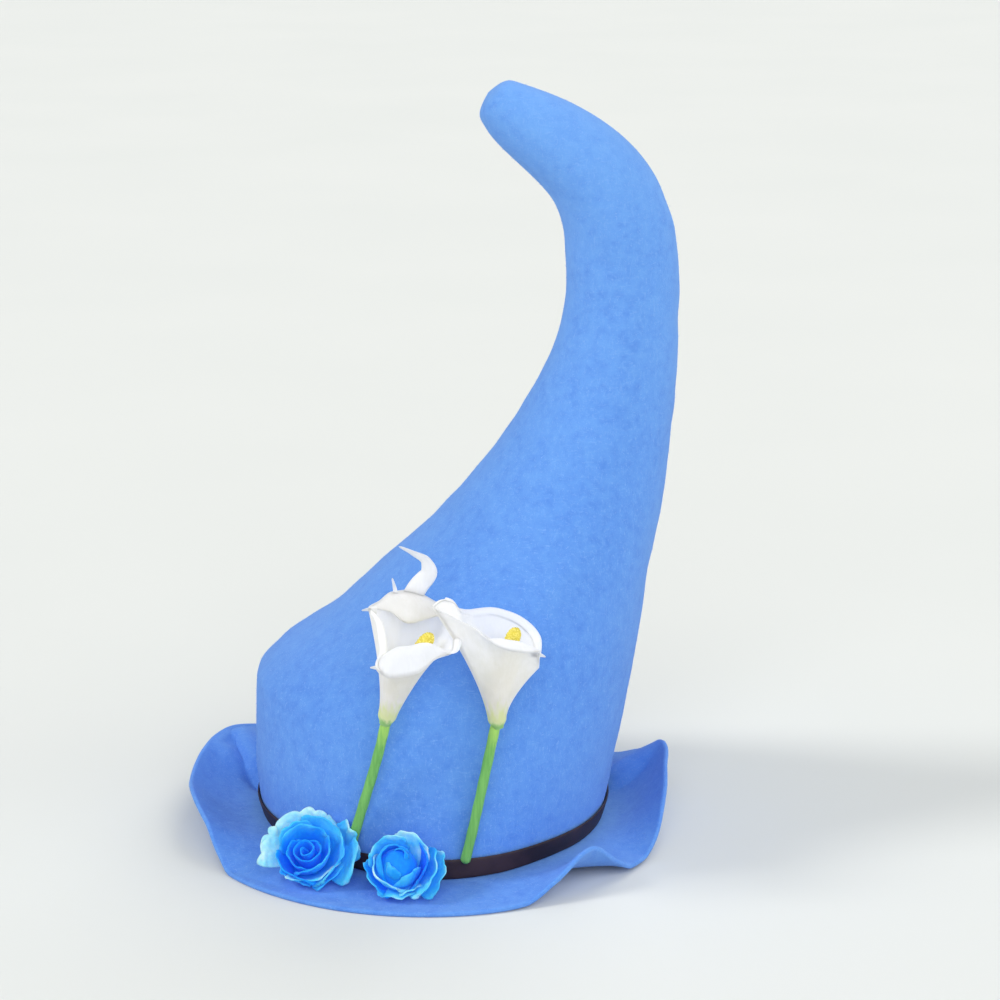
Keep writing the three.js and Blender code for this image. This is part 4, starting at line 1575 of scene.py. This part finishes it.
LEFT_ROSE = Rose(
    side=Side.LEFT,
    heart=(-57, -96, 12.5),
    facing=(-0.1, -0.8, 1),
    petals=(
        Petal(60, 400, 3.4, 4.4, 12, 0.3, 3, 0.2, 5, 0.1, 0.3),
        Petal(200, 105, 6.2, 8.8, 13, 0.4, 0.8, 0.2, 3, 0.06, 0.34),
        Petal(330, 105, 7, 11.5, 12.5, 0.5, 0.8, 0.3, 3, 0.12, 0.5),
        Petal(95, 80, 8, 12.6, 13.5, 0.5, 0.8, 0.3, 3, 0.15, 0.56),
        Petal(222, 70, 8, 14, 11.5, 0.8, 0.8, 0.3, 3, 0.02, 0.36),
        Petal(350, 72, 9, 17.5, 12.5, 0.8, 1, 0.4, 3, 0.3, 0.72),
        Petal(58, 55, 9, 17.5, 13, 1, 0.8, 0.4, 3, 0.35, 0.66),
        Petal(112, 40, 9, 15, 13, 1, 0.4, 0.4, 3, 0.35, 0.62),
        Petal(285, 76, 8, 14, 8, 1.4, 0.8, 0.4, 3, 0.3, 0.88),
        Petal(0, 46, 9, 23.5, 11.5, 1.6, 0, 0.5, 3, 0.35, 0.8),
        Petal(22, 30, 12, 24, 11, 1.2, 0, 0.5, 3, 0.4, 0.8),
        Petal(318, 40, 9, 17, 6, 1.4, 0, 0.4, 3, 0.2, 0.62),
        Petal(238, 42, 8, 13.5, 5.5, 1.3, 0, 0.4, 3, 0.08, 0.5),
        Petal(96, 50, 9, 20, 12, 2.2, 0, 1.05, 4, 0.72, 1.0),
        Petal(146, 44, 8, 20.5, 8.5, 2.4, 0, 1.1, 5, 0.75, 1.0),
    ),
)

RIGHT_ROSE = Rose(
    side=Side.RIGHT,
    heart=(-14.2, -109.5, 12),
    facing=(0.02, -0.8, 1),
    core_radius=9.4,
    core_top=14.5,
    core_tone=0.22,
    petals=(
        Petal(48, 88, 9.7, 6.6, 16, -2.4, 1.1, 0.25, 2, 0.16, 0.5),
        Petal(236, 70, 9.9, 7.4, 15.2, -2.4, 1.1, 0.25, 3, 0.2, 0.6),
        Petal(140, 115, 9, 10.6, 14.5, -3, 0.4, 0.2, 2, 0.2, 0.42),
        Petal(312, 60, 8.8, 11.2, 12, -2.4, 0.4, 0.2, 3, 0.3, 0.66),
        Petal(210, 84, 7, 12.2, 11, -0.2, 0.5, 0.3, 3, 0.3, 0.95),
        # Painted shade: this petal's low tones darken the crescent of shade at the heart's right.
        Petal(2, 70, 9, 14.5, 14.5, -0.3, 0.4, 0.3, 3, -0.2, 0.2),
        Petal(118, 60, 8, 13, 15, 0.2, 0.4, 0.4, 3, 0.3, 0.8),
        Petal(58, 48, 8, 14.8, 14.5, 1, 0.4, 0.4, 3, 0.6, 1.0),
        Petal(348, 54, 8, 18, 12.5, 1.1, 0.4, 0.4, 3, 0.25, 0.8),
        Petal(300, 32, 7, 14, 7.5, 0.9, 0.2, 0.4, 3, 0.4, 0.92),
        Petal(206, 52, 6, 15, 7.5, 0.8, 0, 0.4, 3, -0.1, 0.6),
        Petal(276, 48, 6, 14.5, 5.5, 1.4, 0, 0.4, 3, 0.3, 0.85),
        Petal(352, 40, 8, 21.5, 9.5, 1.2, 0, 0.5, 3, 0.3, 0.8),
    ),
)


@dataclass
class Ground:
    """What the roses lie on: the crown, the band and the brim."""

    crown: Crown
    brim: bpy.types.Object
    clearance: float = 0.7
    band_top: float = 16.3
    band_room: float = 1.6
    band_fade: float = 2.0
    stem_room: float = 3.3
    reach: float = 0.25  # share of the crown's climb that the flowers may touch
    samples: int = 40
    stems: tuple[Lily, ...] = ()

    def __post_init__(self) -> None:
        """Prepares the search for the brim's upper face."""
        mesh = self.brim.data
        self.tree = BVHTree.FromPolygons(
            [v.co.copy() for v in mesh.vertices], [tuple(p.vertices) for p in mesh.polygons]
        )

    def clear(self, points: Array) -> Array:
        """Moves points out of the crown, the band and the stems, and up onto the brim.

        Args:
            points: in any grid.

        Returns:
            The moved points, in the same grid.
        """
        result = points.reshape(-1, 3).copy()
        heights = np.linspace(0, self.reach, self.samples)
        foot = self.crown.face(np.array([0.0, 0.25, 0.5]), heights)
        z = foot[:, 1, 2]
        picks = ((0, 0), (1, 1), (2, 0))  # the column of the foot's grid, and the axis read there
        right, depth, left = (np.interp(result[:, 2], z, foot[:, i, axis]) for i, axis in picks)
        beside_band = smooth((self.band_top + self.band_fade - result[:, 2]) / self.band_fade)
        room = self.clearance + self.band_room * beside_band
        middle = (left + right) / 2
        wide, deep = (right - left) / 2 + room, depth + room
        share = np.hypot((result[:, 0] - middle) / wide, result[:, 1] / deep)
        out = np.maximum(1 / np.maximum(share, 1e-6), 1)
        result[:, 0] = middle + (result[:, 0] - middle) * out
        result[:, 1] = result[:, 1] * out
        for lily in self.stems:
            rows = np.array([[knot.x, knot.y, knot.z] for knot in lily.stem])
            x, y = (np.interp(result[:, 2], rows[:, 2], rows[:, i]) for i in (0, 1))
            beside = np.clip(1 - ((result[:, 0] - x) / self.stem_room) ** 2, 0, 1)
            front = y - self.stem_room * np.sqrt(beside)
            near = (beside > 0) & (result[:, 1] > front) & (result[:, 2] > rows[0, 2] - self.stem_room)
            result[near, 1] = front[near]
        sky, down = 0.1, Vector((0, 0, -1))  # the rays start above the brim, in metres
        for point in result:
            above = Vector(((point[0] + PLAN_SHIFT) * MM, point[1] * MM, sky))
            hit = self.tree.ray_cast(above, down)[0]
            if hit is not None:
                point[2] = max(point[2], hit.z / MM + self.clearance)
        return result.reshape(points.shape)


class Lamp(NamedTuple):
    """A soft distant light: its direction from the hat, to the right of the camera's and up, how wide it
    looks from there, all in degrees, and its share of the light on a surface that faces it."""

    name: str
    azimuth: float
    elevation: float
    width: float
    share: float
    colour: Colour = (1.0, 1.0, 1.0, 1.0)


@dataclass
class Studio:
    """The floor, the lights and the camera."""

    lamps: tuple[Lamp, ...] = (
        Lamp("key", -80, 38, 18, 0.42, (1.0, 0.985, 0.96, 1)),
        Lamp("front", 4, 34, 50, 0.42),
        Lamp("right", 62, 30, 50, 0.26),
        Lamp("back", 145, 46, 42, 0.3),
    )
    sky: float = 0.31
    sky_colour: Colour = (0.97, 0.99, 1.0, 1)
    floor_reach: float = 6.0
    aim: tuple[float, float, float] = (0.03525, 0.0, 0.165)
    distance: float = 1.376
    elevation: float = 15.0
    lens: float = 100.0
    sensor: float = 36.0
    nearest: float = 0.05  # what is nearer to the camera isn't drawn

    def look(self, thing: bpy.types.Object, azimuth: float, elevation: float, distance: float) -> None:
        """Stands a light or the camera away from the hat, and turns it to look at the hat.

        Args:
            thing: what looks.
            azimuth: its direction from the hat, in degrees to the right of the front.
            elevation: and in degrees up.
            distance: in metres.
        """
        turn, tilt = math.radians(azimuth), math.radians(elevation)
        level = math.cos(tilt)
        away = Vector((math.sin(turn) * level, -math.cos(turn) * level, math.sin(tilt))) * distance
        thing.location = Vector(self.aim) + away
        thing.rotation_euler = (-away).to_track_quat("-Z", "Y").to_euler()

    def camera(self) -> None:
        """Places the camera at the photograph's viewing angle."""
        lens = bpy.data.cameras.new("view")
        lens.lens, lens.sensor_width, lens.clip_start = self.lens, self.sensor, self.nearest
        bpy.context.scene.camera = placed("view", lens)
        self.look(bpy.context.scene.camera, 0, self.elevation, self.distance)

    def light(self, lamp: Lamp) -> None:
        """Places one soft light that looks at the hat.

        Args:
            lamp: its sizes.
        """
        shape = bpy.data.lights.new(lamp.name, "SUN")
        shape.angle = math.radians(lamp.width)
        shape.energy = lamp.share * math.pi
        shape.color = lamp.colour[:3]
        self.look(placed(lamp.name, shape), lamp.azimuth, lamp.elevation, 1)

    def floor(self) -> bpy.types.Object:
        """Makes the plain floor that the hat stands on."""
        mesh = bpy.data.meshes.new("floor")
        reach = self.floor_reach
        corners = [(-reach, -reach, 0), (reach, -reach, 0), (reach, reach, 0), (-reach, reach, 0)]
        mesh.from_pydata(corners, [], [(0, 1, 2, 3)])
        mesh.materials.append(FloorFinish().material())
        return placed("floor", mesh)

    def build(self) -> None:
        """Makes the whole studio."""
        self.camera()
        for lamp in self.lamps:
            self.light(lamp)
        world = bpy.data.worlds.new("studio")
        world.use_nodes = True
        sky = world.node_tree.nodes["Background"].inputs
        sky["Color"].default_value, sky["Strength"].default_value = self.sky_colour, self.sky
        bpy.context.scene.world = world
        bpy.context.scene.view_settings.view_transform = "Standard"
        floor = self.floor()


def settle_in(piece: bpy.types.Object, slot: str, *nodes: str) -> bpy.types.Object:
    """Lets a piece stand for its solids, and reports it.

    Args:
        piece: the finished object.
        slot: the name of a material slot; not used.
        nodes: the solids that it stands for.

    Returns:
        The piece.
    """
    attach(piece, "root")
    if nodes:
        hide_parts(*nodes)
    LOG.info("%s: %d faces for %s", piece.name, len(piece.data.polygons), ", ".join(nodes) or "detail alone")
    return piece


def main() -> None:
    """Builds the hat in order, from the felt to the flowers."""
    logging.basicConfig(level=logging.INFO, format="%(name)s: %(message)s")
    Studio().build()
    felt = FeltFinish().material()
    crown = Crown()
    cone = settle_in(crown.build(felt), "felt", "crown")
    brim = settle_in(Brim().build(felt), "felt", "brim")
    nap = Nap()
    hairs, wool = nap.tree(), NapFinish().material()
    for carrier in (cone, brim):
        settle_in(nap.grow(hairs, carrier, wool), "felt")
    settle_in(Band().build(crown, BandFinish().material()), "band", "hat_band")
    petal, stem, spadix = BlossomFinish().material(), StemFinish().material(), SpadixFinish().material()
    grains = Grains()
    grain_tree = grains.tree()
    for lily in (LEFT_LILY, RIGHT_LILY):
        node = f"lily_{lily.side.value}"
        settle_in(lily.make_stem(stem), "stem", f"{node}_stem")
        settle_in(lily.blossom(petal), "blossom", f"{node}_spathe")
        settle_in(grains.cover(grain_tree, lily.make_spadix(spadix)), "spadix", f"{node}_spadix")
    ground = Ground(crown, brim, stems=(LEFT_LILY,))
    cloth = RoseFinish().material()
    for rose in (LEFT_ROSE, RIGHT_ROSE):
        settle_in(rose.build(ground.clear, cloth), "rose", f"rose_{rose.side.value}")


if __name__ == "__main__":
    main()
